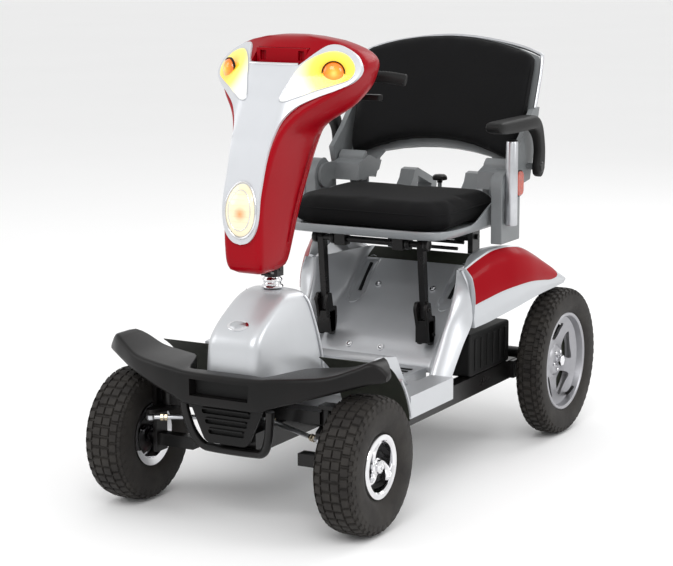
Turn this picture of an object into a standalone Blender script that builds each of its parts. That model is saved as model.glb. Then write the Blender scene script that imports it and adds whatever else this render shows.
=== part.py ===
"""Folding four-wheel powered mobility chair with a steering tiller.

Metres, +Z up.  The rider faces -Y and +X is the rider's left.  Shapes are drawn in
axle coordinates, with y = 0 at the front axle, and `finish_object` moves them so that
the part's origin is at the middle of its footprint, on the ground.
"""
import bpy
import bmesh
from math import cos, pi, radians, sin, sqrt
from mathutils import Vector

# ---------------------------------------------------------------- driving dimensions
FRONT_TYRE_R, FRONT_TYRE_W = 0.130, 0.085
REAR_TYRE_R, REAR_TYRE_W = 0.160, 0.060
FRONT_RIM_R, REAR_RIM_R = 0.0617, 0.1075
FRONT_TRACK, REAR_TRACK, WHEELBASE = 0.500, 0.530, 0.860
MIDDLE_Y = (WHEELBASE + REAR_TYRE_R - FRONT_TYRE_R) / 2      # footprint's middle
GAP = 0.0004                    # between pieces that touch
PLAY = 0.0006                   # round a pin in its bore
PIN_R = 0.006

KINGPIN_X = 0.176
COLUMN = Vector((0, 0.095, 0.186))          # steering column's axis and lower end
TIE_Z = 0.178                               # middle of the tie rods
ARM_VECTOR = Vector((0.011, -0.050, 0))     # left kingpin to its tie rod, as on the column
AXLE_BEAM_LOW = 0.198
KNUCKLE_LOW, KNUCKLE_HIGH = 0.194, 0.227    # the kingpin's boss stands between these
TILT_PIVOT = Vector((0, 0.095, 0.462))
SEAT_PIVOT = Vector((0, 0.785, 0.432))
LEG_PIVOT = Vector((0, 0.493, 0.457))
LEG_X = 0.117
LEG_FOOT_Z = 0.300
BACK_PIVOT = Vector((0, 0.663, 0.563))
ARM_PIVOT = Vector((0.2455, 0.790, 0.593))
BACK_LEAN = radians(20.2)
PAD_FOOT = Vector((0, 0.752, 0.604))        # lower front edge of the back pad
THROTTLE_PIVOT = Vector((0, 0.302, 0.772))
DIAL_CENTRE = Vector((0.035, 0.2865, 0.842))
KEY_CENTRE = Vector((-0.035, 0.2865, 0.842))
HORN_CENTRE = Vector((0, 0.2865, 0.846))
KNOB_CENTRE = Vector((0, 0.815, 0.553))
FREEWHEEL_PIVOT = Vector((0.055, 0.890, 0.195))

FLOOR_TOP, FLOOR_BOTTOM = 0.203, 0.175
RAIL_TOP, RAIL_BOTTOM = 0.170, 0.130
PAN_BOTTOM, PAN_TOP, PAN_HALF = 0.476, 0.490, 0.200

# Tiller casing at each height: front half width, front y, rear y, rear half width.
TILLER_LEVELS = (
    (0.463, 0.028, 0.006, 0.096, 0.028), (0.470, 0.036, -0.006, 0.110, 0.036),
    (0.500, 0.040, -0.014, 0.122, 0.040), (0.550, 0.041, -0.016, 0.146, 0.041),
    (0.600, 0.042, -0.013, 0.172, 0.042), (0.650, 0.044, 0.003, 0.200, 0.044),
    (0.700, 0.050, 0.022, 0.226, 0.050), (0.735, 0.060, 0.042, 0.246, 0.075),
    (0.765, 0.084, 0.059, 0.263, 0.122), (0.785, 0.112, 0.071, 0.272, 0.140),
    (0.805, 0.138, 0.083, 0.2808, 0.150), (0.830, 0.153, 0.098, 0.2845, 0.154),
    (0.855, 0.151, 0.118, 0.279, 0.151), (0.876, 0.122, 0.140, 0.258, 0.122),
    (0.892, 0.055, 0.165, 0.225, 0.055),
)
HEAD_FLAT, HEAD_SWEEP = 0.050, 0.62         # beyond this half width the face sweeps back
# Lengthwise stations of the rear mudguard: y, outer x, lower z, shoulder x, shoulder z.
GUARD_STATIONS = (
    (0.5590, 0.209, 0.280, 0.193, 0.404), (0.590, 0.224, 0.288, 0.205, 0.420),
    (0.630, 0.240, 0.299, 0.218, 0.434), (0.670, 0.255, 0.310, 0.236, 0.438),
    (0.720, 0.267, 0.322, 0.242, 0.428), (0.780, 0.270, 0.326, 0.246, 0.405),
    (0.830, 0.270, 0.327, 0.250, 0.380), (0.870, 0.269, 0.328, 0.255, 0.358),
    (0.895, 0.267, 0.328, 0.258, 0.345),
)
# Body cover at each height: middle y, ridge y, side x, side y.
COVER_LEVELS = (
    (0.1900, 0.4985, 0.431, 0.2000, 0.468), (0.2035, 0.500, 0.440, 0.2005, 0.478),
    (0.225, 0.518, 0.455, 0.2015, 0.495),
    (0.255, 0.545, 0.477, 0.203, 0.520), (0.290, 0.592, 0.502, 0.2055, 0.5515),
    (0.318, 0.634, 0.523, 0.205, 0.554), (0.345, 0.664, 0.538, 0.202, 0.551),
    (0.370, 0.698, 0.548, 0.197, 0.547), (0.388, 0.726, 0.551, 0.190, 0.544),
    (0.400, 0.750, 0.552, 0.185, 0.542),
)


# ---------------------------------------------------------------- materials and objects
def material(name, colour, roughness, metallic=0.0):
    mat = bpy.data.materials.get(name) or bpy.data.materials.new(name)
    mat.use_nodes = True
    shader = mat.node_tree.nodes["Principled BSDF"]
    shader.inputs["Base Color"].default_value = (*colour, 1)
    shader.inputs["Roughness"].default_value = roughness
    shader.inputs["Metallic"].default_value = metallic
    mat.diffuse_color = (*colour, 1)
    return mat


FINISHES = {
    "red_gloss": ((0.45, 0.004, 0.012), 0.2, 0.0),
    "silver_paint": ((0.42, 0.43, 0.45), 0.3, 0.7),
    "light_silver": ((0.66, 0.67, 0.70), 0.3, 0.4),
    "grey_plastic": ((0.24, 0.25, 0.27), 0.45, 0.0),
    "black_plastic": ((0.018, 0.018, 0.020), 0.5, 0.0),
    "black_steel": ((0.012, 0.012, 0.013), 0.35, 0.6),
    "chrome": ((0.78, 0.78, 0.78), 0.08, 1.0),
    "aluminium": ((0.60, 0.61, 0.63), 0.3, 1.0),
    "alloy": ((0.45, 0.45, 0.47), 0.35, 0.8),
    "tyre_rubber": ((0.020, 0.018, 0.017), 0.85, 0.0),
    "black_fabric": ((0.014, 0.014, 0.016), 0.9, 0.0),
    "clear_lens": ((0.90, 0.88, 0.75), 0.1, 0.0),
    "amber_lens": ((0.95, 0.42, 0.03), 0.15, 0.0),
}


def finish_object(obj, finish, pivot=(0, 0, 0), sharp=35):
    """Give a shape its finish, and its origin on the pivot, in part coordinates."""
    mesh = obj.data
    obj_matrix = obj.matrix_world.copy()
    mesh.transform(obj_matrix)
    shift = Vector(pivot)
    for vertex in mesh.vertices:
        vertex.co -= shift
    obj.matrix_world.identity()
    obj.location = shift - Vector((0, MIDDLE_Y, 0))
    mesh.materials.clear()
    mesh.materials.append(material(finish, *FINISHES[finish]))
    mesh.shade_smooth()
    mesh.set_sharp_from_angle(angle=radians(sharp))
    return obj


def new_object(name, vertices, faces):
    mesh = bpy.data.meshes.new(name)
    mesh.from_pydata([tuple(v) for v in vertices], [], faces)
    bm = bmesh.new()
    bm.from_mesh(mesh)
    bmesh.ops.remove_doubles(bm, verts=bm.verts, dist=1e-6)
    bmesh.ops.recalc_face_normals(bm, faces=bm.faces)
    bm.to_mesh(mesh)
    bm.free()
    obj = bpy.data.objects.new(name, mesh)
    bpy.context.collection.objects.link(obj)
    return obj


def loft(name, rings, closed=False):
    """Skin closed rings of equal length; the ends are capped, or joined if `closed`."""
    count = len(rings[0])
    vertices = [point for ring in rings for point in ring]
    faces = []
    last = len(rings) if closed else len(rings) - 1
    for i in range(last):
        here, there = i * count, (i + 1) % len(rings) * count
        for j in range(count):
            k = (j + 1) % count
            faces.append((here + j, here + k, there + k, there + j))
    if not closed:
        faces.append(tuple(range(count)))
        faces.append(tuple(range(len(vertices) - count, len(vertices))))
    return new_object(name, vertices, faces)


def box(name, low, high):
    (x0, y0, z0), (x1, y1, z1) = low, high
    ring = [(x0, y0), (x1, y0), (x1, y1), (x0, y1)]
    return loft(name, [[(x, y, z) for x, y in ring] for z in (z0, z1)])


def plate_x(name, outline, x0, x1):
    """An outline of (y, z) points, extruded along X."""
    return loft(name, [[(x, y, z) for y, z in outline] for x in (x0, x1)])


def arc(cy, cz, radius, start, end, steps):
    """Points (y, z) on an arc, angles in degrees from +Y towards +Z."""
    angles = [radians(start + (end - start) * i / steps) for i in range(steps + 1)]
    return [(cy + radius * cos(a), cz + radius * sin(a)) for a in angles]


def turned(name, profile, centre, axis="X", segments=24, solid=False):
    """Turn (radius, along) points about an axis: a ring, or a solid closed at its ends."""
    centre = Vector(centre)
    rings = []
    for i in range(segments):
        c, s = cos(2 * pi * i / segments), sin(2 * pi * i / segments)
        directions = {
            "X": lambda r, a: Vector((a, r * c, r * s)),
            "Y": lambda r, a: Vector((r * s, a, r * c)),
            "Z": lambda r, a: Vector((r * c, r * s, a)),
        }
        rings.append([centre + directions[axis](r, a) for r, a in profile])
    if not solid:
        return loft(name, rings, closed=True)
    across = list(zip(*rings))
    return loft(name, across)


def cylinder(name, centre, radius, start, end, axis="X", segments=16):
    return turned(name, [(radius, start), (radius, end)], centre, axis, segments, solid=True)


def sheet(name, rows, thickness):
    """A closed shell: a grid of points, thickened against its own normals."""
    count = len(rows[0])
    grid = [[Vector(p) for p in row] for row in rows]
    inner = []
    for i, row in enumerate(grid):
        inner.append([])
        for j, point in enumerate(row):
            down = grid[min(i + 1, len(grid) - 1)][j] - grid[max(i - 1, 0)][j]
            along = row[min(j + 1, count - 1)] - row[max(j - 1, 0)]
            inner[-1].append(point - along.cross(down).normalized() * thickness)
    outside = [p for row in grid for p in row]
    inside = [p for row in inner for p in row]
    base, faces = len(outside), []
    for i in range(len(grid) - 1):
        for j in range(count - 1):
            a, b = i * count + j, (i + 1) * count + j
            faces.append((a, a + 1, b + 1, b))
            faces.append((base + b, base + b + 1, base + a + 1, base + a))
    rim = list(range(count))
    rim += [(i + 1) * count - 1 for i in range(1, len(grid))]
    rim += list(range(base - 2, base - count - 1, -1))
    rim += [i * count for i in range(len(grid) - 2, 0, -1)]
    for a, b in zip(rim, rim[1:] + rim[:1]):
        faces.append((b, a, base + a, base + b))
    return new_object(name, outside + inside, faces)


def rod(name, path, radius, sides=10):
    """A round bar along a list of points, with flat ends."""
    points = [Vector(p) for p in path]
    rings = []
    side = None
    for i, point in enumerate(points):
        tangent = (points[min(i + 1, len(points) - 1)] - points[max(i - 1, 0)]).normalized()
        guess = side or (Vector((0, 0, 1)) if abs(tangent.z) < 0.9 else Vector((0, 1, 0)))
        side = (guess - tangent * guess.dot(tangent)).normalized()
        other = tangent.cross(side)
        rings.append([
            point + (side * cos(2 * pi * k / sides) + other * sin(2 * pi * k / sides)) * radius
            for k in range(sides)
        ])
    return loft(name, rings)


def smooth_path(points, steps=4):
    """Catmull-Rom points through a few guides."""
    guides = [Vector(p) for p in points]
    padded = [guides[0] * 2 - guides[1]] + guides + [guides[-1] * 2 - guides[-2]]
    path = []
    for a, b, c, d in zip(padded, padded[1:], padded[2:], padded[3:]):
        for i in range(steps):
            t = i / steps
            path.append(0.5 * (2 * b + (c - a) * t + (2 * a - 5 * b + 4 * c - d) * t * t
                               + (3 * b - a - 3 * c + d) * t ** 3))
    return path + [guides[-1]]


def combine(obj, others, operation="UNION"):
    """Join pieces into one solid, or cut them away; the other pieces are used up."""
    for other in others:
        modifier = obj.modifiers.new(operation.lower(), "BOOLEAN")
        modifier.operation = operation
        modifier.solver = "EXACT"
        modifier.object = other
        graph = bpy.context.evaluated_depsgraph_get()
        result = bpy.data.meshes.new_from_object(obj.evaluated_get(graph))
        obj.modifiers.clear()
        obj.data = result
        bpy.data.objects.remove(other)
    bm = bmesh.new()
    bm.from_mesh(obj.data)
    bmesh.ops.dissolve_limit(bm, angle_limit=radians(0.5), verts=bm.verts, edges=bm.edges)
    bm.to_mesh(obj.data)
    bm.free()
    return obj


def cut(obj, others):
    return combine(obj, others, "DIFFERENCE")


def for_each_side(build):
    """Build a left and a right piece; `side` is +1 on the rider's left."""
    for label, side in (("left", 1), ("right", -1)):
        build(label, side)


# ---------------------------------------------------------------- wheels
def tyre(name, centre, radius, width, bore):
    """A tyre carcass: crowned tread, bulged walls, and a seat for the rim."""
    half = width / 2
    outer = [(0.985, 0.62), (1.0, 0.30), (1.0, -0.30), (0.985, -0.62), (0.93, -0.88),
             (0.80, -1.0), (0.62, -0.97)]
    depth = radius - bore
    low = [(bore + 0.10 * depth, -0.84 * half), (bore, -0.80 * half)]
    high = [(r, -a) for r, a in reversed(low)]
    walls = [(r * radius, a * half) for r, a in outer if r * radius > bore + 0.12 * depth]
    far_wall = [(r * radius, -a * half) for r, a in reversed(outer[4:])
                if r * radius > bore + 0.12 * depth]
    profile = far_wall + walls + low + high
    return finish_object(turned(name, profile, centre, segments=24), "tyre_rubber", centre)


def rim(name, centre, side, sizes, finish):
    """A rim barrel, a bored hub and spokes near the outer face, joined as one casting."""
    radius, half_width, hub_r, hub_in, hub_out, spokes, spoke_w = sizes
    barrel_r = radius - 0.009
    barrel = [(barrel_r, -half_width), (radius, -half_width), (radius, half_width),
              (barrel_r, half_width)]
    obj = turned(name, barrel, centre, segments=24)
    x0, x1 = sorted((half_width * 0.30 * side, half_width * 0.75 * side))
    pieces = [cylinder("hub", centre, hub_r, *sorted((-hub_in * side, hub_out * side)), segments=12)]
    for i in range(spokes):
        angle = 2 * pi * i / spokes + pi / 2
        out = Vector((0, cos(angle), sin(angle)))
        across = Vector((0, -sin(angle), cos(angle))) * spoke_w / 2
        ends = ((hub_r * 0.6, 0.8), (barrel_r + 0.004, 1.5))
        ring = [out * r + across * w * k for k, (r, w) in
                ((-1, ends[0]), (-1, ends[1]), (1, ends[1]), (1, ends[0]))]
        pieces.append(loft("spoke", [[Vector(centre) + p + Vector((x, 0, 0)) for p in ring]
                                     for x in (x0, x1)]))
    combine(obj, pieces)
    cut(obj, [cylinder("bore", centre, PIN_R + PLAY, -0.1, 0.1, segments=12)])
    return finish_object(obj, finish, centre)


FRONT_RIM = (FRONT_RIM_R, 0.0356, 0.020, 0.040, 0.030, 3, 0.020)
REAR_RIM = (REAR_RIM_R, 0.0230, 0.030, 0.034, 0.018, 5, 0.030)


def wheel(label, front, side):
    radius, width, rim_r, track, sizes, finish = (
        (FRONT_TYRE_R, FRONT_TYRE_W, FRONT_RIM_R, FRONT_TRACK, FRONT_RIM, "chrome") if front
        else (REAR_TYRE_R, REAR_TYRE_W, REAR_RIM_R, REAR_TRACK, REAR_RIM, "alloy"))
    centre = (side * track / 2, 0 if front else WHEELBASE, radius)
    tyre(f"{label}_tyre", centre, radius, width, rim_r + GAP)
    rim(f"{label}_rim", centre, side, sizes, finish)


# ---------------------------------------------------------------- chassis
def main_frame():
    """Welded frame: two rails, cross members, a front spine, a post and seat uprights."""
    rail_x0, rail_x1 = 0.165, 0.195
    obj = box("main_frame", (-rail_x1, 0.205, RAIL_BOTTOM), (rail_x1, 0.235, RAIL_TOP))
    pieces = [
        box("spine", (-0.040, -0.036, RAIL_BOTTOM), (0.040, 0.215, RAIL_TOP)),
        box("post", (-0.030, -0.0542, 0.150), (0.030, -0.030, 0.2700)),
        box("gusset", (-0.020, 0.1196, 0.150), (0.020, 0.146, 0.240)),
        box("rear_cross", (-0.205, 0.767, RAIL_BOTTOM + 0.001), (0.205, 0.797, RAIL_TOP - 0.001)),
    ]
    for side in (1, -1):
        x0, x1 = sorted((side * rail_x0, side * rail_x1))
        pieces.append(box("rail", (x0, 0.22, RAIL_BOTTOM), (x1, 0.800, RAIL_TOP)))
        x0, x1 = sorted((side * 0.092, side * 0.104))
        pieces.append(box("upright", (x0, 0.767, RAIL_BOTTOM + 0.004), (x1, 0.803, 0.446)))
        x0, x1 = sorted((side * 0.084, side * 0.116))
        pieces.append(box("drive_mount", (x0, 0.790, 0.140), (x1, 0.8154, 0.166)))
    combine(obj, pieces)
    cut(obj, [cylinder("seat_bore", SEAT_PIVOT, PIN_R + PLAY, -0.2, 0.2)])
    finish_object(obj, "black_steel")


def head_parts():
    """The head tube that carries the steering column, and its two bearings."""
    bore, wall = 0.0195, 0.024
    tube = turned("head_tube", [(wall, 0.2000), (bore, 0.2000), (bore, 0.400), (wall, 0.400)],
                  (0, COLUMN.y, 0), "Z", 24)
    finish_object(tube, "black_steel")
    for name, low in (("lower_head_bearing", 0.204), ("upper_head_bearing", 0.386)):
        ring = [(bore - GAP, low), (0.0137, low), (0.0137, low + 0.010), (bore - GAP, low + 0.010)]
        finish_object(turned(name, ring, (0, COLUMN.y, 0), "Z", 24), "chrome")


def front_axle():
    """Cross beam over the spine, with a bored kingpin boss at each end."""
    obj = box("front_axle_beam", (-0.166, -0.016, AXLE_BEAM_LOW), (0.166, 0.016, 0.222))
    pieces = [box("saddle", (-0.022, -0.0155, RAIL_TOP + GAP), (0.022, 0.0155, AXLE_BEAM_LOW + 0.001))]
    pieces += [cylinder("boss", (side * KINGPIN_X, 0, 0), 0.014, KNUCKLE_LOW + 0.0005,
                        KNUCKLE_HIGH - 0.0005, "Z") for side in (1, -1)]
    combine(obj, pieces)
    cut(obj, [cylinder("bore", (side * KINGPIN_X, 0, 0), PIN_R + PLAY, 0.1, 0.3, "Z")
              for side in (1, -1)])
    finish_object(obj, "black_steel")


def bumper():
    """A swept bumper wing with a hand hold in the middle."""
    # x, front y, rear y, lower z, upper z
    stations = [(0.000, -0.104, -0.063, 0.228, 0.289), (0.085, -0.102, -0.063, 0.229, 0.290),
                (0.104, -0.099, 0.020, 0.238, 0.292), (0.150, -0.091, 0.028, 0.250, 0.296),
                (0.210, -0.072, 0.038, 0.268, 0.303), (0.258, -0.046, 0.045, 0.282, 0.320),
                (0.278, -0.034, 0.032, 0.288, 0.328), (0.302, -0.014, 0.012, 0.289, 0.309)]

    def section(x, y0, y1, z0, z1):
        chamfer = 0.008
        return [(x, y0, z0 + chamfer), (x, y0 + chamfer, z0), (x, y1, z0), (x, y1, z1 - chamfer),
                (x, y1 - chamfer, z1), (x, y0 + 0.6 * chamfer, z1 - 0.3 * chamfer),
                (x, y0, z1 - chamfer)]
    rings = [section(*station) for station in stations]
    left_to_right = [[(-x, y, z) for x, y, z in ring] for ring in reversed(rings[1:])] + rings
    obj = loft("bumper", left_to_right)
    cut(obj, [box("hold", (-0.062, -0.15, 0.245), (0.062, -0.082, 0.277))])
    finish_object(obj, "black_plastic")


def front_guard():
    """Louvred plate under the bumper, and the tube hoop round it."""
    top, bottom, front, back = 0.2275, 0.153, -0.076, -0.070
    outline = [(-0.080, top), (-0.046, bottom), (0.046, bottom), (0.080, top)]
    obj = loft("louvre_plate", [[(x, y, z) for x, z in outline] for y in (front, back)])
    slots = [box("slot", (-w, -0.1, z - 0.0035), (w, 0, z + 0.0035))
             for w, z in ((0.050, 0.212), (0.042, 0.193), (0.036, 0.174))]
    cut(obj, slots)
    finish_object(obj, "black_plastic")
    half = [(0.094, -0.074, 0.2275), (0.090, -0.070, 0.200), (0.080, -0.061, 0.164),
            (0.066, -0.053, 0.143), (0.045, -0.049, 0.136)]
    path = [(-x, y, z) for x, y, z in half] + list(reversed(half))
    finish_object(rod("guard_tube", smooth_path(path, 2), 0.0085, 8), "black_steel")


def nose_cover():
    """Open-bottomed shell round the head tube, with a hole for the steering column."""
    # z, front y, rear y, front half width, rear half width
    levels = ((0.262, -0.059, 0.134, 0.056, 0.099), (0.300, -0.059, 0.132, 0.054, 0.095),
              (0.348, -0.056, 0.130, 0.050, 0.088), (0.372, -0.030, 0.128, 0.049, 0.082),
              (0.398, 0.012, 0.1255, 0.048, 0.074), (0.414, 0.045, 0.121, 0.046, 0.066),
              (0.421, 0.066, 0.116, 0.036, 0.052))
    rows = []
    for z, y0, y1, w0, w1 in levels:
        r = min(0.016, w0 * 0.35)
        half = [(w0 - r, y0), (w0 - 0.2 * r, y0 + 0.35 * r), (w0 + 0.05 * r, y0 + 1.2 * r),
                (w1, y1 - 1.6 * r), (w1 - 0.3 * r, y1 - 0.3 * r), (w1 - 1.4 * r, y1)]
        ring = half + [(-x, y) for x, y in reversed(half)]
        rows.append([(x, y, z) for x, y in ring])
    hole = [(0.0175 * cos(a), COLUMN.y + 0.0175 * sin(a), 0.4212)
            for a in (radians(30 * k - 75) for k in range(12))]
    rows.append(hole)
    inner = []
    wall = 0.003
    for row in rows:
        inner.append([(x * (1 - wall / 0.06), COLUMN.y - 0.05 + (y - COLUMN.y + 0.05) * 0.965,
                       z - wall) for x, y, z in row])
    inner[-1] = [(x, y, rows[-1][0][2] - wall) for x, y, z in rows[-1]]
    inner[0] = [(x, y, levels[0][0]) for x, y, z in inner[0]]
    obj = loft("nose_cover", rows + list(reversed(inner)), closed=True)
    finish_object(obj, "silver_paint", sharp=40)


def footplate():
    """Floor tray with side steps, a raised toe box and an arch behind each front wheel."""
    arch_in, arch_out = 0.1925, 0.1985
    obj = box("footplate", (-0.250, 0.185, FLOOR_BOTTOM), (0.250, 0.372, FLOOR_TOP))
    toe = [(0.304, FLOOR_TOP - 0.001), (0.274, 0.232), (0.243, 0.279), (0.170, 0.291),
           (0.150, 0.289)] + arc(0, FRONT_TYRE_R, 0.5 * (arch_in + arch_out), 42, 22, 4)
    pieces = [box("heel", (-0.132, 0.30, FLOOR_BOTTOM + 0.0005), (0.132, 0.489, FLOOR_TOP - 0.0005)),
              plate_x("toe_box", toe, -0.190, 0.190)]
    for side in (1, -1):
        section = arc(0, FRONT_TYRE_R, arch_out, 14, 41, 5) + arc(0, FRONT_TYRE_R, arch_in, 41, 14, 5)
        x0, x1 = sorted((side * 0.112, side * 0.2495))
        pieces.append(plate_x("arch", section, x0, x1))
        x0, x1 = sorted((side * 0.200, side * 0.2505))
        pieces.append(box("step", (x0, 0.1865, FLOOR_BOTTOM - 0.001), (x1, 0.3722, 0.218)))
    combine(obj, pieces)
    finish_object(obj, "silver_paint")


def body_cover():
    """Scooped cover behind the floor: it stands back in the middle and wraps both sides."""
    rows = []
    for z, middle, ridge, side_x, side_y in COVER_LEVELS:
        deep = middle - ridge
        half = [(0.070, middle), (0.136, middle - 0.04 * deep), (0.146, ridge + 0.72 * deep),
                (0.154, ridge + 0.30 * deep), (0.163, ridge + 0.05 * deep), (0.171, ridge),
                (0.171 + 0.6 * (side_x - 0.171), ridge + 0.3 * (side_y - ridge)), (side_x, side_y)]
        row = [(-x, y, z) for x, y in reversed(half)] + [(0, middle, z)] + [(x, y, z) for x, y in half]
        rows.append(row)
    obj = sheet("body_cover", rows, -0.004)
    finish_object(obj, "silver_paint", sharp=40)


def guard_section(station, side, inset):
    """Cross-section of the rear mudguard's outside, from inner flange to lower edge."""
    y, low_x, low_z, top_x, top_z = station
    bow = 0.006
    inner = max(0.168, 0.180 - 0.27 * (y - GUARD_STATIONS[0][0]))
    points = [(inner, top_z - 0.010), (0.5 * (inner + top_x), top_z - 0.002), (top_x - 0.005, top_z),
              (top_x + 0.25 * (low_x - top_x) + bow, top_z + 0.22 * (low_z - top_z)),
              (top_x + 0.62 * (low_x - top_x) + bow, top_z + 0.60 * (low_z - top_z)),
              (low_x, low_z)]
    return [(side * (x - inset), y, z) for x, z in points]


def mudguards():
    def build(label, side):
        rows = [guard_section(station, side, 0.0) for station in GUARD_STATIONS]
        obj = sheet(f"mudguard_{label}", rows, 0.004 * side)
        finish_object(obj, "silver_paint", sharp=40)
        skin = []
        for step, station in enumerate(GUARD_STATIONS[:-2]):
            row = [Vector(p) for p in guard_section(station, side, -0.0030)]
            low = row[4].lerp(row[5], 0.10 + 0.05 * step)
            high = row[2].lerp(row[3], 0.25)
            if step == len(GUARD_STATIONS) - 3:
                skin.append([row[2].lerp(row[3], 0.8), row[3], row[3].lerp(row[4], 0.5),
                             row[3].lerp(row[4], 0.9)])
            else:
                skin.append([high, row[3], row[4], low])
        panel = sheet(f"side_panel_{label}", skin, -0.0025 * side)
        finish_object(panel, "red_gloss", sharp=40)
    for_each_side(build)


def power_unit():
    """Battery case, motor controller, and the motor with its final drive and axle tubes."""
    obj = box("battery_case", (-0.196, 0.566, RAIL_TOP + GAP), (0.196, 0.764, 0.262))
    finish_object(obj, "black_plastic")
    obj = box("controller_box", (-0.070, 0.650, 0.2625), (0.070, 0.755, 0.302))
    finish_object(obj, "black_plastic")
    bore, tube_r = PIN_R + PLAY, 0.020
    outline = [(bore, -0.224), (tube_r, -0.224), (tube_r, -0.170), (0.044, -0.160),
               (0.044, -0.036), (0.030, -0.034), (0.030, -0.030), (0.050, -0.020),
               (0.050, 0.030), (0.040, 0.040), (tube_r, 0.048), (tube_r, 0.224), (bore, 0.224)]
    obj = turned("drive_unit", outline, (0, WHEELBASE, REAR_TYRE_R), segments=16)
    finish_object(obj, "black_steel")


def leg_brackets():
    """Saddles on the body cover in which the seat's legs stand."""
    def build(label, side):
        x = side * LEG_X
        obj = box(f"leg_bracket_{label}", (x - 0.016, 0.497, 0.248), (x + 0.016, 0.524, 0.298))
        cheek = [(0.494, 0.285), (0.508, 0.243), (0.524, 0.243), (0.532, 0.296), (0.530, 0.335),
                 (0.492, 0.335), (0.486, 0.312)]
        for a, b in ((-0.016, -0.009), (0.009, 0.016)):
            combine(obj, [plate_x("cheek", cheek, x + a, x + b)])
        finish_object(obj, "black_steel")
    for_each_side(build)


# ---------------------------------------------------------------- steering
def steering_column():
    """Column with the tie-rod plate at its foot and a clevis at its head."""
    shaft_r = 0.013
    obj = cylinder("steering_column", (0, COLUMN.y, 0), shaft_r, COLUMN.z, 0.450, "Z", 20)
    tip_y = COLUMN.y + ARM_VECTOR.y
    tip_x = ARM_VECTOR.x
    plate = [(-0.016, COLUMN.y + 0.012), (0.016, COLUMN.y + 0.012),
             (tip_x + 0.009, tip_y - 0.002), (tip_x, tip_y - 0.010),
             (-tip_x, tip_y - 0.010), (-tip_x - 0.009, tip_y - 0.002)]
    pieces = [loft("plate", [[(x, y, z) for x, y in plate] for z in (COLUMN.z, COLUMN.z + 0.008)]),
              box("clevis_foot", (-0.018, 0.083, 0.4465), (0.018, 0.107, 0.4505))]
    for a, b in ((-0.018, -0.0105), (0.0105, 0.018)):
        ear = [(0.083, 0.448), (0.107, 0.448)] + arc(TILT_PIVOT.y, TILT_PIVOT.z, 0.012, 0, 180, 6)
        pieces.append(plate_x("ear", ear, a, b))
    combine(obj, pieces)
    cut(obj, [cylinder("bore", TILT_PIVOT, 0.005 + PLAY, -0.1, 0.1)])
    finish_object(obj, "black_steel", COLUMN)
    waist, bulge, inside = 0.0165, 0.0210, shaft_r + GAP
    ring = [(inside, 0.4222), (waist, 0.4222), (bulge, 0.4250), (bulge, 0.4290),
            (waist, 0.4325), (0.0188, 0.4390), (waist, 0.4450), (inside, 0.4450)]
    collar = turned("column_collar", ring, (0, COLUMN.y, 0), "Z", 20)
    finish_object(collar, "chrome", COLUMN)


def steering_linkage():
    """Knuckles on their kingpins, and the tie rods that turn them."""
    def build(label, side):
        x = side * KINGPIN_X
        wheel_x = side * FRONT_TRACK / 2
        obj = cylinder(f"knuckle_{label}", (x, 0, 0), PIN_R, KNUCKLE_LOW - 0.006,
                       KNUCKLE_HIGH + 0.006, "Z", 12)
        x0, x1 = sorted((x - side * 0.014, x + side * 0.0275))
        o0, o1 = sorted((x + side * 0.0185, x + side * 0.0275))
        b0, b1 = sorted((x - side * 0.060, x + side * 0.020))
        pieces = [box("upper", (x0, -0.014, KNUCKLE_HIGH), (x1, 0.014, KNUCKLE_HIGH + 0.008)),
                  box("web", (o0, -0.018, 0.100), (o1, 0.018, KNUCKLE_HIGH + 0.0075)),
                  box("block", (b0, -0.012, 0.113), (b1, 0.012, 0.137)),
                  cylinder("shoulder", (0, 0, FRONT_TYRE_R), 0.011,
                           *sorted((x + side * 0.024, wheel_x - side * 0.0405)), segments=12),
                  cylinder("stub_axle", (0, 0, FRONT_TYRE_R), PIN_R,
                           *sorted((x + side * 0.024, wheel_x + side * 0.0320)), segments=12)]
        tip = Vector((x + side * ARM_VECTOR.x, ARM_VECTOR.y, 0))
        arm = [(x - side * 0.014, 0.014), (x + side * 0.024, 0.014), (x + side * 0.024, -0.010),
               (tip.x + side * 0.008, tip.y - 0.004), (tip.x + side * 0.004, tip.y - 0.009),
               (tip.x - side * 0.004, tip.y - 0.009), (tip.x - side * 0.009, tip.y - 0.003),
               (x - side * 0.014, -0.010)]
        pieces.append(loft("arm", [[(a, b, z) for a, b in arm]
                                   for z in (COLUMN.z, KNUCKLE_LOW)]))
        combine(obj, pieces)
        finish_object(obj, "black_steel", (x, 0, FRONT_TYRE_R))

        start = Vector((side * ARM_VECTOR.x, COLUMN.y + ARM_VECTOR.y, TIE_Z))
        end = Vector((tip.x, tip.y, TIE_Z))
        link = rod(f"tie_rod_{label}", [start, end], 0.005, 10)
        eyes = [cylinder("eye", (p.x, p.y, 0), 0.009, TIE_Z - 0.0072, TIE_Z + 0.0075, "Z", 12)
                for p in (start, end)]
        combine(link, eyes)
        finish_object(link, "chrome", start)
    for_each_side(build)


# ---------------------------------------------------------------- tiller
def level_at(z):
    """Half width, front y and rear y of the casing, between the listed heights."""
    for low, high in zip(TILLER_LEVELS, TILLER_LEVELS[1:]):
        if z <= high[0]:
            t = max(0.0, (z - low[0]) / (high[0] - low[0]))
            return [a + (b - a) * t for a, b in zip(low[1:], high[1:])]
    return list(TILLER_LEVELS[-1][1:])


def swept(x):
    """How far the face stands back at this distance from the middle plane."""
    return HEAD_SWEEP * max(0.0, abs(x) - HEAD_FLAT)


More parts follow.
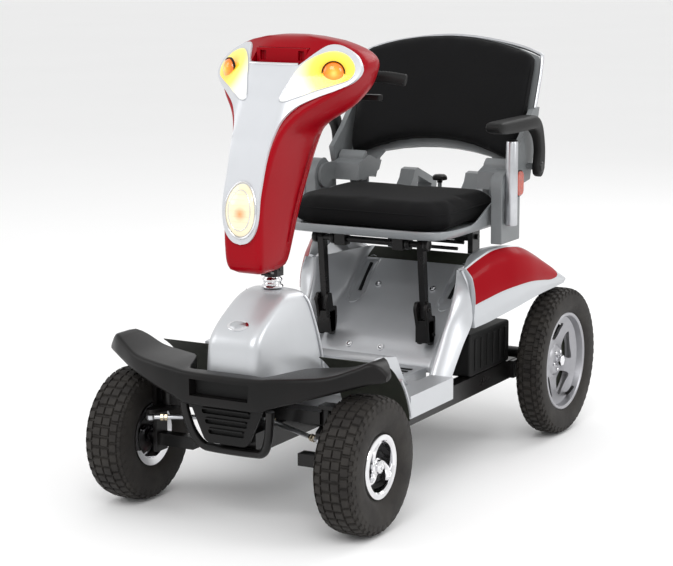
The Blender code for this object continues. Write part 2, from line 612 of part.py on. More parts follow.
def casing_ring(z, half, front, rear, wide, inset=0.0):
    half, wide, front, rear = half - inset, wide - inset, front + inset, rear - inset
    depth = rear - front
    soft = min(0.016, half * 0.4)
    edge = half - soft
    side = front + swept(half)
    flat = min(0.6 * edge, HEAD_FLAT)
    right = [(flat, front), (edge, front + swept(edge)),
             (half - 0.15 * soft, side + 0.35 * soft), (half, side + 1.2 * soft),
             (wide, front + 0.88 * depth), (wide * 0.90, front + 0.96 * depth),
             (wide * 0.70, rear)]
    ring = [(x, y, z) for x, y in right]
    return ring + [(-x, y, z) for x, y in reversed(right)]


def tiller_casing():
    """Hollow casing, open at its foot where the column's clevis enters."""
    obj = loft("tiller_casing", [casing_ring(*level) for level in TILLER_LEVELS])
    wall = 0.004
    hollow = [casing_ring(z, *level_at(z), inset=wall)
              for z in (0.505, 0.550, 0.600, 0.650, 0.700, 0.735, 0.765, 0.785, 0.805, 0.830, 0.850)]
    cavity = loft("cavity", hollow)
    mouth = box("mouth", (-0.0245, 0.062, 0.440), (0.0245, 0.150, 0.515))
    combine(cavity, [mouth])
    cut(obj, [cavity])
    finish_object(obj, "red_gloss", TILT_PIVOT, sharp=40)


def tiller_stem():
    """Tongue in the clevis, with its pin, and the post up to the handlebar."""
    obj = plate_x("tiller_stem", [(0.085, 0.500), (0.105, 0.500)]
                  + arc(TILT_PIVOT.y, TILT_PIVOT.z, 0.010, 0, -180, 6), -0.0095, 0.0095)
    head = Vector((0, 0.236, 0.801))
    pieces = [rod("post", [(0, 0.095, 0.492), (0, 0.130, 0.600), head], 0.011, 12),
              cylinder("pin", TILT_PIVOT, 0.005, -0.0195, 0.0195, segments=12)]
    combine(obj, pieces)
    finish_object(obj, "black_steel", TILT_PIVOT)


def face_sheet(name, rows, finish, lift, thickness, columns=5):
    """A plate that lies on the casing's front: rows of (z, left x, right x)."""
    grid = []
    for z, x0, x1 in rows:
        y = level_at(z)[1] - lift
        across = [x0 + (x1 - x0) * i / (columns - 1) for i in range(columns)]
        if x1 > HEAD_FLAT > -x1 == x0:
            bend = 0.5 * (x1 + HEAD_FLAT)
            right = [0.5 * HEAD_FLAT, HEAD_FLAT, bend, x1]
            across = [-x for x in reversed(right)] + [0] + right
        grid.append([(x, y + swept(x), z) for x in across])
    obj = sheet(name, grid, thickness)
    finish_object(obj, finish, TILT_PIVOT, sharp=40)


def oval_rows(centre_x, centre_z, half_x, half_z, count=9, lean=0.0):
    """Rows across an oval, which leans sideways with height if asked."""
    rows = []
    for i in range(count):
        s = -cos(pi * (i + 0.35) / (count - 0.3))
        width = half_x * sqrt(max(0.0, 1 - s * s))
        x = centre_x + lean * s
        rows.append((centre_z + half_z * s, x - width, x + width))
    return rows


def tiller_face():
    widths = ((0.512, 0.020), (0.525, 0.031), (0.550, 0.036), (0.600, 0.037), (0.650, 0.0385),
              (0.700, 0.0435), (0.735, 0.0540), (0.765, 0.073), (0.785, 0.101), (0.805, 0.128),
              (0.830, 0.143), (0.850, 0.139), (0.862, 0.122))
    face_sheet("tiller_face", [(z, -w, w) for z, w in widths], "light_silver", 0.0056, 0.003, 9)
    face_sheet("headlight_lens", oval_rows(0, 0.585, 0.029, 0.048), "clear_lens", 0.0100, 0.0036)
    drop = ((0.790, 0.0505, 0.070), (0.805, 0.0505, 0.108), (0.818, 0.0510, 0.133),
            (0.830, 0.0525, 0.141), (0.843, 0.0590, 0.137), (0.855, 0.0750, 0.122))
    for_each_side(lambda label, side: face_sheet(
        f"indicator_lens_{label}", [(z, *sorted((side * a, side * b))) for z, a, b in drop],
        "amber_lens", 0.0112, 0.0034))


def tiller_controls():
    """Handlebar behind the casing, the rocking throttle lever, dial, key and horn."""
    bar_z, bar_y = 0.812, 0.318
    ends = [(0.158, 0.335, 0.806), (0.125, 0.326, 0.811), (0.070, bar_y, bar_z)]
    path = ends + [(0, bar_y, bar_z)] + [(-x, y, z) for x, y, z in reversed(ends)]
    bar = rod("handlebar", smooth_path(path, 2), 0.0115, 8)
    combine(bar, [box("mount", (-0.028, 0.2862, 0.800), (0.028, 0.320, 0.824))])
    finish_object(bar, "black_plastic", TILT_PIVOT)

    half = [(0.120, 0.318), (0.112, 0.326), (0.040, 0.310), (0.014, 0.312)]
    back = [(0.116, 0.308), (0.040, 0.298), (0.014, 0.292)]
    outline = [(x, y) for x, y in half] + [(-x, y) for x, y in reversed(half)]
    outline += [(-x, y) for x, y in back] + [(x, y) for x, y in reversed(back)]
    z0, z1 = THROTTLE_PIVOT.z - 0.006, THROTTLE_PIVOT.z + 0.006
    lever = loft("throttle_lever", [[(x, y, z) for x, y in outline] for z in (z0, z1)])
    finish_object(lever, "black_plastic", THROTTLE_PIVOT)

    dial = cylinder("speed_dial", DIAL_CENTRE, 0.013, 0, 0.009, "Y", 20)
    finish_object(dial, "black_plastic", DIAL_CENTRE)
    key = cylinder("ignition_key", KEY_CENTRE, 0.0075, 0, 0.006, "Y", 16)
    low = KEY_CENTRE + Vector((-0.0014, 0.004, -0.010))
    combine(key, [box("bow", low, low + Vector((0.0028, 0.020, 0.020)))])
    finish_object(key, "chrome", KEY_CENTRE)
    horn = cylinder("horn_button", HORN_CENTRE, 0.008, 0.003, 0.009, "Y", 16)
    finish_object(horn, "amber_lens", HORN_CENTRE)


# ---------------------------------------------------------------- seat
def seat_frame():
    """Rails under the pan, ears for the leg shaft, and the rear hinge shaft."""
    obj = box("seat_frame", (-0.080, 0.600, 0.4640), (0.080, 0.670, 0.4730))
    pieces = [cylinder("hinge_tube", SEAT_PIVOT, 0.011, -0.088, 0.088),
              cylinder("hinge_pin", SEAT_PIVOT, PIN_R, -0.110, 0.110, segments=12)]
    for side in (1, -1):
        x0, x1 = sorted((side * 0.056, side * 0.080))
        pieces += [box("rail", (x0, 0.480, 0.4650), (x1, 0.798, PAN_BOTTOM - GAP)),
                   box("ear", (x0, 0.4805, 0.4440), (x1, 0.5055, 0.4700)),
                   box("drop", (x0, 0.7755, 0.4220), (x1, 0.7945, 0.4700))]
    combine(obj, pieces)
    cut(obj, [cylinder("shaft_bore", LEG_PIVOT, 0.007 + PLAY, -0.2, 0.2)])
    finish_object(obj, "black_steel", SEAT_PIVOT)


def seat_pan():
    """Shallow tray with cheeks that rise beside the cushion at the rear."""
    outline = [(0.150, 0.424), (0.180, 0.432), (0.196, 0.452), (PAN_HALF, 0.480),
               (PAN_HALF, 0.757), (0.190, 0.7605)]
    ring = outline + [(-x, y) for x, y in reversed(outline)]
    obj = loft("seat_pan", [[(x, y, z) for x, y in ring] for z in (PAN_BOTTOM, PAN_TOP)])
    cheek = [(0.520, 0.4765), (0.640, 0.458), (0.757, 0.456), (0.757, 0.535), (0.690, 0.533),
             (0.655, 0.520), (0.620, 0.503), (0.560, 0.496), (0.520, 0.494)]
    pieces = [plate_x("cheek", cheek, *sorted((side * (PAN_HALF - 0.007), side * (PAN_HALF + 0.0005))))
              for side in (1, -1)]
    combine(obj, pieces)
    finish_object(obj, "grey_plastic", SEAT_PIVOT)


def seat_cushion():
    low, high = PAN_TOP + 0.0008, 0.544
    levels = ((low, 0.006), (low + 0.012, 0.0), (high - 0.018, 0.0), (high - 0.006, 0.008),
              (high, 0.022))
    rings = []
    for z, inset in levels:
        half, front, rear = 0.1915 - inset, 0.437 + inset, 0.744 - inset
        right = [(0.120, front), (half - 0.022, front + 0.012), (half, front + 0.045),
                 (half, rear - 0.03), (half - 0.02, rear)]
        rings.append([(x, y, z) for x, y in right] + [(-x, y, z) for x, y in reversed(right)])
    finish_object(loft("seat_cushion", rings), "black_fabric", SEAT_PIVOT, sharp=60)


def seat_sides():
    """Side brackets that carry the back's hinges, and the arm rests' support posts."""
    post_r, post_x = 0.0126, 0.2478

    def build(label, side):
        face = [(0.630, 0.446), (0.722, 0.446), (0.722, 0.548), (0.702, 0.556)]
        face += arc(BACK_PIVOT.y, BACK_PIVOT.z, 0.037, 0, 180, 8)
        face += [(0.630, 0.545)]
        x0, x1 = sorted((side * 0.2090, side * 0.2345))
        obj = plate_x(f"seat_bracket_{label}", face, x0, x1)
        cut(obj, [cylinder("bore", BACK_PIVOT, PIN_R + PLAY, -0.3, 0.3)])
        finish_object(obj, "grey_plastic", SEAT_PIVOT)
        post = cylinder(f"arm_post_{label}", (side * post_x, 0.648, 0), post_r, 0.486, 0.6625, "Z", 16)
        finish_object(post, "aluminium", SEAT_PIVOT)
    for_each_side(build)


def rear_hoops():
    """Two sloping gussets behind the seat with the clamp's base between them."""
    outer = [(0.7610, 0.4900), (0.7610, 0.5180), (0.7900, 0.5300), (0.8080, 0.5480),
             (0.8160, 0.5660), (0.8320, 0.5690), (0.9250, 0.5330), (0.9250, 0.5210),
             (0.9180, 0.4900)]
    hole = [(0.8300, 0.5060), (0.8300, 0.5520), (0.9000, 0.5250), (0.8940, 0.5060)]
    obj = box("rear_hoops", (-0.097, 0.7612, 0.4905), (0.097, 0.835, 0.5030))
    pieces = []
    for side in (1, -1):
        x0, x1 = sorted((side * 0.062, side * 0.097))
        hoop = plate_x("hoop", outer, x0, x1)
        cut(hoop, [plate_x("hole", hole, x0 - 0.01, x1 + 0.01)])
        pieces.append(hoop)
    pieces += [box("clamp_block", (-0.012, 0.803, 0.500), (0.012, 0.827, 0.5225)),
               cylinder("cross_rod", (0, KNOB_CENTRE.y, 0.5260), 0.0045, -0.041, 0.041, segments=12),
               cylinder("stud", (0, KNOB_CENTRE.y, 0), 0.0045, 0.510, 0.5405, "Z", 12)]
    combine(obj, pieces)
    finish_object(obj, "grey_plastic", SEAT_PIVOT)
    knob = turned("clamp_knob", [(0.006, 0.5412), (0.006, 0.5450), (0.0165, 0.5480),
                                 (0.0165, 0.5560), (0.0120, 0.5590)],
                  (0, KNOB_CENTRE.y, 0), "Z", 20, solid=True)
    finish_object(knob, "black_plastic", KNOB_CENTRE)


def leg_frame():
    """The two front legs and the cross shaft they swing on."""
    obj = cylinder("leg_frame", LEG_PIVOT, 0.007, -0.134, 0.134)
    foot_y = 0.510
    for side in (1, -1):
        x0, x1 = sorted((side * (LEG_X - 0.0068), side * (LEG_X + 0.0068)))
        outline = [(LEG_PIVOT.y - 0.008, LEG_PIVOT.z + 0.002), (foot_y - 0.007, LEG_FOOT_Z),
                   (foot_y + 0.007, LEG_FOOT_Z), (LEG_PIVOT.y + 0.008, LEG_PIVOT.z + 0.002)]
        head = arc(LEG_PIVOT.y, LEG_PIVOT.z, 0.011, 0, 180, 6)
        combine(obj, [plate_x("leg", outline[:3] + [(LEG_PIVOT.y + 0.011, LEG_PIVOT.z)] + head[1:],
                              x0, x1)])
    finish_object(obj, "black_steel", LEG_PIVOT)


# ---------------------------------------------------------------- back and arm rests
BACK_UP = Vector((0, sin(BACK_LEAN), cos(BACK_LEAN)))
BACK_OUT = Vector((0, cos(BACK_LEAN), -sin(BACK_LEAN)))


def back_slab(name, outline, front, rear):
    """An outline of (x, height up the back) points, extruded through the back."""
    return loft(name, [[PAD_FOOT + Vector((x, 0, 0)) + BACK_UP * s + BACK_OUT * d
                        for x, s in outline] for d in (front, rear)])


def arch(half, side_height, middle_height, count=9):
    """A shallow arch from -half to +half."""
    points = []
    for i in range(count):
        x = -half + 2 * half * i / (count - 1)
        points.append((x, middle_height - (middle_height - side_height) * (x / half) ** 2))
    return points


def backrest():
    """Padded back on a plastic frame that bridges the seat and hinges at both sides."""
    outline = [(-0.208, -0.040), (-0.213, 0.0), (-0.213, 0.235)] + arch(0.204, 0.247, 0.288, 9)
    outline += [(0.213, 0.235), (0.213, 0.0), (0.208, -0.040), (0.146, -0.040), (0.143, 0.005)]
    outline += list(reversed(arch(0.132, 0.020, 0.036, 7))) + [(-0.143, 0.005), (-0.146, -0.040)]
    obj = back_slab("backrest_frame", outline, 0.041, 0.055)
    pieces = []
    for side in (1, -1):
        x0, x1 = sorted((side * 0.143, side * 0.2083))
        leg = [(0.7000, 0.5500), (0.770, 0.5540), (0.800, 0.5640), (0.811, 0.584),
               (0.7895, 0.5885), (0.7530, 0.6015), (0.7400, 0.5980), (0.7060, 0.5860)]
        pieces.append(plate_x("leg", leg, x0, x1))
        x0, x1 = sorted((side * 0.146, side * 0.190))
        pieces.append(box("leg_panel", (x0, 0.7500, 0.5320), (x1, 0.7570, 0.5700)))
        x0, x1 = sorted((side * 0.2112, side * 0.2225))
        brace = [(0.7260, 0.5540), (0.800, 0.5640), (0.824, 0.640), (0.846, 0.715), (0.812, 0.712),
                 (0.760, 0.660), (0.712, 0.620), (0.718, 0.600), (0.7260, 0.5760)]
        pieces.append(plate_x("brace", brace, x0, x1))
        x0, x1 = sorted((side * 0.2020, side * 0.2083))
        pieces.append(box("web", (min(side * 0.2000, side * 0.2150), 0.7300, 0.5600),
                          (max(side * 0.2000, side * 0.2150), 0.7900, 0.5900)))
        cheek = arc(BACK_PIVOT.y, BACK_PIVOT.z, 0.0265, 90, 270, 8)
        cheek += [(0.690, 0.5500), (0.735, 0.5530), (0.735, 0.5880)]
        pieces.append(plate_x("hinge_cheek", cheek, x0, x1))
        pieces.append(cylinder("hinge_pin", BACK_PIVOT, PIN_R, *sorted((side * 0.205, side * 0.2360)),
                               segments=12))
        pieces.append(cylinder("arm_pin", (0, ARM_PIVOT.y, ARM_PIVOT.z), 0.007,
                               *sorted((side * 0.2120, side * 0.2545)), segments=12))
    combine(obj, pieces)
    finish_object(obj, "grey_plastic", BACK_PIVOT)

    soft = [(-0.200, 0.006), (-0.207, 0.030), (-0.209, 0.225), (-0.205, 0.243)]
    soft += arch(0.194, 0.251, 0.285, 7)
    soft += [(0.205, 0.243), (0.209, 0.225), (0.207, 0.030), (0.200, 0.006)]
    soft += list(reversed(arch(0.160, 0.016, 0.046, 7)))
    rings = []
    middle = (0, 0.140)
    for depth, shrink in ((0.0, 0.90), (0.007, 0.975), (0.020, 1.0), (0.0403, 1.0)):
        rings.append([PAD_FOOT + Vector((middle[0] + (x - middle[0]) * shrink, 0, 0))
                      + BACK_UP * (middle[1] + (s - middle[1]) * shrink) + BACK_OUT * depth
                      for x, s in soft])
    finish_object(loft("backrest_cushion", rings), "black_fabric", BACK_PIVOT, sharp=60)


def arm_rests():
    """L-shaped arm rests that hinge on the back frame and lie on their posts."""
    profile = [(0.556, 0.6910), (0.566, 0.7040), (0.600, 0.7080), (0.745, 0.7040), (0.772, 0.6970),
               (0.786, 0.6780), (0.800, 0.6300), (0.8070, 0.6000)]
    profile += arc(ARM_PIVOT.y, ARM_PIVOT.z, 0.0165, 0, -180, 8)
    profile += [(0.7745, 0.6150), (0.7660, 0.6600), (0.7500, 0.6700), (0.640, 0.6675),
                (0.600, 0.6700), (0.570, 0.6820)]

    def build(label, side):
        x0, x1 = sorted((side * 0.2365, side * 0.2545))
        obj = plate_x(f"arm_rest_{label}", profile, x0, x1)
        pad_profile = [(0.556, 0.6910), (0.566, 0.7040), (0.600, 0.7080), (0.745, 0.7040),
                       (0.768, 0.6970), (0.768, 0.6820), (0.640, 0.6790), (0.575, 0.6830)]
        pad = plate_x("pad", pad_profile, *sorted((side * 0.2255, side * 0.2655)))
        combine(obj, [pad])
        cut(obj, [cylinder("bore", (0, ARM_PIVOT.y, ARM_PIVOT.z), 0.007 + PLAY, -0.4, 0.4)])
        pivot = (side * ARM_PIVOT.x, ARM_PIVOT.y, ARM_PIVOT.z)
        finish_object(obj, "black_plastic", pivot)
    for_each_side(build)


def freewheel_lever():
    outline = arc(FREEWHEEL_PIVOT.y, FREEWHEEL_PIVOT.z, 0.010, 120, 300, 6)
    outline += [(0.934, 0.222), (0.938, 0.232), (0.930, 0.238)]
    obj = plate_x("freewheel_lever", outline, FREEWHEEL_PIVOT.x, FREEWHEEL_PIVOT.x + 0.006)
    finish_object(obj, "amber_lens", FREEWHEEL_PIVOT)


def build_model():
    for obj in list(bpy.data.objects):
        bpy.data.objects.remove(obj)
    for name, front, side in (("front_left", True, 1), ("front_right", True, -1),
                              ("rear_left", False, 1), ("rear_right", False, -1)):
        wheel(name, front, side)
    for make in (main_frame, head_parts, front_axle, bumper, front_guard, nose_cover, footplate,
                 body_cover, mudguards, power_unit, leg_brackets, freewheel_lever,
                 steering_column, steering_linkage, tiller_casing, tiller_stem, tiller_face,
                 tiller_controls, seat_frame, seat_pan, seat_cushion, seat_sides, rear_hoops,
                 leg_frame, backrest, arm_rests):
        make()


build_model()
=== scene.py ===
"""Looks of the folding four-wheel powered mobility chair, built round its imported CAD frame.

Metres, +Z up; the rider faces -Y and +X is the rider's left.  Shapes are drawn in axle
coordinates, with y = 0 at the front axle, and `piece` moves them into the frame.
"""
from math import atan2, cos, hypot, pi, radians, sin, sqrt

import bmesh
import bpy
from mathutils import Matrix, Vector


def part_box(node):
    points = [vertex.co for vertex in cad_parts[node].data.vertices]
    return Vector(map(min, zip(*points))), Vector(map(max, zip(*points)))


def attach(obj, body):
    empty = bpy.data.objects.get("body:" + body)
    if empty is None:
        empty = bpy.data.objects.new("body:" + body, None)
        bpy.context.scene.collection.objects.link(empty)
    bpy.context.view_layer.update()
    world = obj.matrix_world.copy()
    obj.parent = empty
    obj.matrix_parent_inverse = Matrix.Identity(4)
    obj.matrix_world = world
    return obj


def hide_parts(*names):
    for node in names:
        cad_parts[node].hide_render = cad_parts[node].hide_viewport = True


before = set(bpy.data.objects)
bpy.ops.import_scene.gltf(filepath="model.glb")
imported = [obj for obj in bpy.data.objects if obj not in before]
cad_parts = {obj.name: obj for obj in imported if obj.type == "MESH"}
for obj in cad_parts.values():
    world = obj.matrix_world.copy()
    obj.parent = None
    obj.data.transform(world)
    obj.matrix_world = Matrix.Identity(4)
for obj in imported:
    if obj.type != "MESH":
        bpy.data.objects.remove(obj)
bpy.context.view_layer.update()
AXLE_Y = sum((c.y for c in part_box("front_left_tyre")), 0.0) / 2
SIDES = (("left", 1), ("right", -1))
FRONT_TRACK, FRONT_AXLE_Z = 0.25, 0.13    # half the track, and the axle's height
REAR_TRACK, REAR_AXLE = 0.265, (0.86, 0.16)    # y and z of the rear axle
COLUMN_Y = 0.095
BACK_HINGE, ARM_HINGE, LEG_HINGE = (0.663, 0.563), (0.79, 0.593), (0.493, 0.457)    # y, z
BACK_LEAN = radians(20.2)
PAD_FOOT = Vector((0, 0.752, 0.604))    # lower front corner of the back cushion
BACK_UP = Vector((0, sin(BACK_LEAN), cos(BACK_LEAN)))
BACK_OUT = Vector((0, cos(BACK_LEAN), -sin(BACK_LEAN)))


# ---------------------------------------------------------------- materials
def links(mat):
    return mat.node_tree.nodes, mat.node_tree.links


def node(mat, kind, **inputs):
    """Add a shader node and set its inputs by name."""
    made = mat.node_tree.nodes.new(kind)
    for name, value in inputs.items():
        made.inputs[name.replace("_", " ")].default_value = value
    return made


def finish(name, colour, rough, metal=0.0, coat=0.0, grain=None, mottle=None, **extra):
    """A procedural finish: `grain` is (scale, height) of its bump, `mottle` is
    (scale, darker colour, roughness change) of its uneven wear."""
    mat = bpy.data.materials.new(name)
    mat.use_nodes = True
    nodes, wires = links(mat)
    shader = nodes["Principled BSDF"]
    shader.inputs["Base Color"].default_value = (*colour, 1)
    shader.inputs["Roughness"].default_value = rough
    shader.inputs["Metallic"].default_value = metal
    shader.inputs["Coat Weight"].default_value = coat
    shader.inputs["Coat Roughness"].default_value = 0.06
    for key, value in extra.items():
        shader.inputs[key.replace("_", " ")].default_value = value
    place = nodes.new("ShaderNodeTexCoord")
    if mottle:
        scale, dark, change = mottle
        noise = node(mat, "ShaderNodeTexNoise", Scale=scale, Detail=6.0, Roughness=0.6)
        wires.new(place.outputs["Object"], noise.inputs["Vector"])
        ramp = nodes.new("ShaderNodeValToRGB")
        ramp.color_ramp.elements[0].position = 0.35
        ramp.color_ramp.elements[0].color = (*dark, 1)
        ramp.color_ramp.elements[1].position = 0.65
        ramp.color_ramp.elements[1].color = (*colour, 1)
        wires.new(noise.outputs["Fac"], ramp.inputs["Fac"])
        wires.new(ramp.outputs["Color"], shader.inputs["Base Color"])
        spread = nodes.new("ShaderNodeMapRange")
        spread.inputs["To Min"].default_value = max(0.02, rough - change)
        spread.inputs["To Max"].default_value = min(1.0, rough + change)
        wires.new(noise.outputs["Fac"], spread.inputs["Value"])
        wires.new(spread.outputs["Result"], shader.inputs["Roughness"])
    if grain:
        scale, height = grain
        fine = node(mat, "ShaderNodeTexNoise", Scale=scale, Detail=3.0)
        wires.new(place.outputs["Object"], fine.inputs["Vector"])
        bump = node(mat, "ShaderNodeBump", Strength=0.6, Distance=height)
        wires.new(fine.outputs["Fac"], bump.inputs["Height"])
        wires.new(bump.outputs["Normal"], shader.inputs["Normal"])
    return mat


def woven(name, colour, thread):
    """Black upholstery cloth: two crossed sets of threads, with sheen and slight fading."""
    mat = finish(name, colour, 0.82, mottle=(5.0, tuple(c * 0.6 for c in colour), 0.08),
        Sheen_Weight=0.03, Sheen_Roughness=0.4, Specular_IOR_Level=0.16)
    nodes, wires = links(mat)
    place = nodes["Texture Coordinate"]
    heights = []
    for direction in ("X", "Y"):
        wave = node(mat, "ShaderNodeTexWave", Scale=thread, Distortion=0.6)
        wave.bands_direction = direction
        wires.new(place.outputs["Object"], wave.inputs["Vector"])
        heights.append(wave)
    cross = nodes.new("ShaderNodeMath")
    cross.operation = "MULTIPLY"
    for k, wave in enumerate(heights):
        wires.new(wave.outputs["Fac"], cross.inputs[k])
    bump = node(mat, "ShaderNodeBump", Strength=0.35, Distance=0.0004)
    wires.new(cross.outputs["Value"], bump.inputs["Height"])
    wires.new(bump.outputs["Normal"], nodes["Principled BSDF"].inputs["Normal"])
    return mat


def lit(name, centre, reach, stops, glow, rough=0.12):
    """A lamp's lens, whose colour runs outwards from a lit point."""
    mat = finish(name, stops[0], rough, coat=0.8, grain=(260.0, 0.0003), IOR=1.49)
    nodes, wires = links(mat)
    shader = nodes["Principled BSDF"]
    place = nodes["Texture Coordinate"]
    gap = nodes.new("ShaderNodeVectorMath")
    gap.operation = "DISTANCE"
    gap.inputs[1].default_value = centre
    wires.new(place.outputs["Object"], gap.inputs[0])
    share = nodes.new("ShaderNodeMapRange")
    share.inputs["From Max"].default_value = reach
    wires.new(gap.outputs["Value"], share.inputs["Value"])
    ramp = nodes.new("ShaderNodeValToRGB")
    for k, colour in enumerate(stops):
        where = k / (len(stops) - 1)
        stop = ramp.color_ramp.elements[k] if k < 2 else ramp.color_ramp.elements.new(where)
        stop.position = where
        stop.color = (*colour, 1)
    wires.new(share.outputs["Result"], ramp.inputs["Fac"])
    wires.new(ramp.outputs["Color"], shader.inputs["Base Color"])
    wires.new(ramp.outputs["Color"], shader.inputs["Emission Color"])
    shader.inputs["Emission Strength"].default_value = glow
    return mat


RED = finish("red_paint", (0.31, 0.0002, 0.006), 0.3, coat=0.1, grain=(60.0, 0.0002),
    mottle=(3.0, (0.27, 0.0002, 0.005), 0.03), Specular_IOR_Level=0.07)
SILVER = finish("silver_paint", (0.56, 0.575, 0.595), 0.33, metal=0.5, coat=0.35,
    grain=(1800.0, 0.00008), mottle=(4.0, (0.52, 0.535, 0.555), 0.04))
PALE = finish("pale_silver_paint", (0.6, 0.615, 0.64), 0.34, metal=0.25, coat=0.4,
    grain=(1800.0, 0.00008), mottle=(4.0, (0.56, 0.575, 0.6), 0.03))
GREY = finish("grey_moulding", (0.185, 0.195, 0.2), 0.42, grain=(900.0, 0.0003),
    mottle=(9.0, (0.15, 0.16, 0.165), 0.07))
PAN_GREY = finish("pan_moulding", (0.26, 0.275, 0.285), 0.34, metal=0.2, coat=0.3,
    grain=(900.0, 0.0002), mottle=(6.0, (0.22, 0.235, 0.245), 0.05))
BLACK = finish("black_moulding", (0.006, 0.005, 0.005), 0.36, grain=(700.0, 0.0003),
    mottle=(8.0, (0.003, 0.003, 0.003), 0.08), Specular_IOR_Level=0.22)
SOFT_BLACK = finish("soft_black_moulding", (0.006, 0.006, 0.006), 0.55, grain=(420.0, 0.0006),
    mottle=(10.0, (0.003, 0.003, 0.003), 0.08), Specular_IOR_Level=0.25)
STEEL = finish("black_powder_coat", (0.004, 0.004, 0.004), 0.3, metal=0.0, coat=0.08,
    grain=(1200.0, 0.00015), mottle=(14.0, (0.007, 0.006, 0.006), 0.08), Specular_IOR_Level=0.26)
# Dark olive for the arch liners and brake drums; the same colour is also painted shade, laid on the
# cover under the seat.
LINER_AND_SHADE = finish("dark_liner_and_painted_shade", (0.03, 0.033, 0.024), 0.7, grain=(500.0, 0.0004),
    mottle=(12.0, (0.018, 0.02, 0.015), 0.08), Specular_IOR_Level=0.2)
CHROME = finish("chrome_plate", (0.82, 0.82, 0.83), 0.07, metal=1.0,
    mottle=(30.0, (0.74, 0.74, 0.76), 0.03))
BRASS = finish("zinc_plate", (0.62, 0.52, 0.36), 0.22, metal=1.0,
    mottle=(60.0, (0.5, 0.43, 0.32), 0.08))
ALLOY = finish("cast_alloy", (0.42, 0.42, 0.44), 0.38, metal=0.85, grain=(1500.0, 0.0001),
    mottle=(12.0, (0.34, 0.34, 0.36), 0.07))
ALUMINIUM = finish("drawn_aluminium", (0.58, 0.59, 0.61), 0.3, metal=0.95,
    mottle=(40.0, (0.5, 0.51, 0.53), 0.06))
RUBBER = finish("tyre_rubber", (0.013, 0.011, 0.01), 0.66, grain=(900.0, 0.0004),
    mottle=(22.0, (0.024, 0.021, 0.018), 0.1), Specular_IOR_Level=0.3)
CLOTH = woven("black_cloth", (0.0045, 0.0045, 0.005), 210.0)
REFLECTOR = finish("amber_reflector", (0.5, 0.045, 0.004), 0.15, coat=0.5, grain=(500.0, 0.0008),
    mottle=(200.0, (0.3, 0.018, 0.002), 0.05))
SLOTS = {RED: "red_gloss", SILVER: "silver_paint", PALE: "light_silver", GREY: "grey_plastic",
    PAN_GREY: "grey_plastic", BLACK: "black_plastic", SOFT_BLACK: "black_plastic", STEEL: "black_steel",
    LINER_AND_SHADE: "black_plastic", CHROME: "chrome", BRASS: "chrome", ALLOY: "alloy", ALUMINIUM: "aluminium",
    RUBBER: "tyre_rubber", CLOTH: "black_fabric", REFLECTOR: "amber_lens"}


# ---------------------------------------------------------------- mesh tools
def linked(name, data):
    """A new object in the scene."""
    obj = bpy.data.objects.new(name, data)
    bpy.context.collection.objects.link(obj)
    return obj


def solid_mesh(node_name):
    """A copy of a CAD solid's mesh, in the frame's coordinates."""
    source = bpy.data.objects[node_name]
    data = source.data.copy()
    data.transform(source.matrix_world)
    return data


def aimed(obj, place, direction):
    """Turn a shape's Z axis to a direction, and move the shape to its place."""
    turn = Vector((0, 0, 1)).rotation_difference(Vector(direction)).to_matrix().to_4x4()
    obj.data.transform(Matrix.Translation(place) @ turn)
    return obj


def mesh(name, vertices, faces, weld=False):
    data = bpy.data.meshes.new(name)
    data.from_pydata([tuple(v) for v in vertices], [], faces)
    bm = bmesh.new()
    bm.from_mesh(data)
    if weld:
        bmesh.ops.remove_doubles(bm, verts=bm.verts, dist=1e-6)
    bmesh.ops.recalc_face_normals(bm, faces=bm.faces)
    bm.to_mesh(data)
    bm.free()
    return linked(name, data)


def loft(name, rings, closed=False, on_axis=False):
    """Skin rings of equal length; rings that start and end on an axis stay open there."""
    count = len(rings[0])
    points = [p for ring in rings for p in ring]
    faces = []
    for i in range(len(rings) if closed else len(rings) - 1):
        here, there = i * count, (i + 1) % len(rings) * count
        for j in range(count - 1 if on_axis else count):
            k = (j + 1) % count
            faces.append((here + j, here + k, there + k, there + j))
    if not closed:
        faces.append(tuple(range(count)))
        faces.append(tuple(range(len(points) - count, len(points))))
    return mesh(name, points, faces, weld=on_axis)


def grid(name, rows, thickness=0.0, offset=-1.0):
    """An open surface through a grid of points, given a thickness."""
    count = len(rows[0])
    faces = [(i * count + j, i * count + j + 1, (i + 1) * count + j + 1, (i + 1) * count + j)
        for i in range(len(rows) - 1) for j in range(count - 1)]
    data = bpy.data.meshes.new(name)
    data.from_pydata([tuple(p) for row in rows for p in row], [], faces)
    obj = linked(name, data)
    if thickness:
        solid = obj.modifiers.new("thickness", "SOLIDIFY")
        solid.thickness = thickness
        solid.offset = offset
        settle(obj)
    return obj


def settle(obj):
    """Apply the modifiers that an object has so far."""
    graph = bpy.context.evaluated_depsgraph_get()
    result = bpy.data.meshes.new_from_object(obj.evaluated_get(graph))
    obj.modifiers.clear()
    obj.data = result
    return obj


def block(name, low, high):
    (x0, y0, z0), (x1, y1, z1) = low, high
    ring = ((x0, y0), (x1, y0), (x1, y1), (x0, y1))
    return loft(name, [[(x, y, z) for x, y in ring] for z in (z0, z1)])


def plate(name, outline, x0, x1):
    """An outline of (y, z) points, extruded along X."""
    return loft(name, [[(x, y, z) for y, z in outline] for x in (x0, x1)])


def lathe(name, profile, centre, axis="X", sign=1, steps=64):
    """Turn (radius, along) points about an axis; a profile that starts and ends on
    the axis closes there, and any other is closed into a ring."""
    centre = Vector(centre)
    spin = {"X": lambda r, a, c, s: (a, r * c, r * s), "Y": lambda r, a, c, s: (r * s, a, r * c),
        "Z": lambda r, a, c, s: (r * c, r * s, a)}[axis]
    rings = [[centre + Vector(spin(r, a * sign, cos(2 * pi * i / steps), sin(2 * pi * i / steps)))
        for r, a in profile] for i in range(steps)]
    return loft(name, rings, closed=True, on_axis=profile[0][0] == 0 and profile[-1][0] == 0)


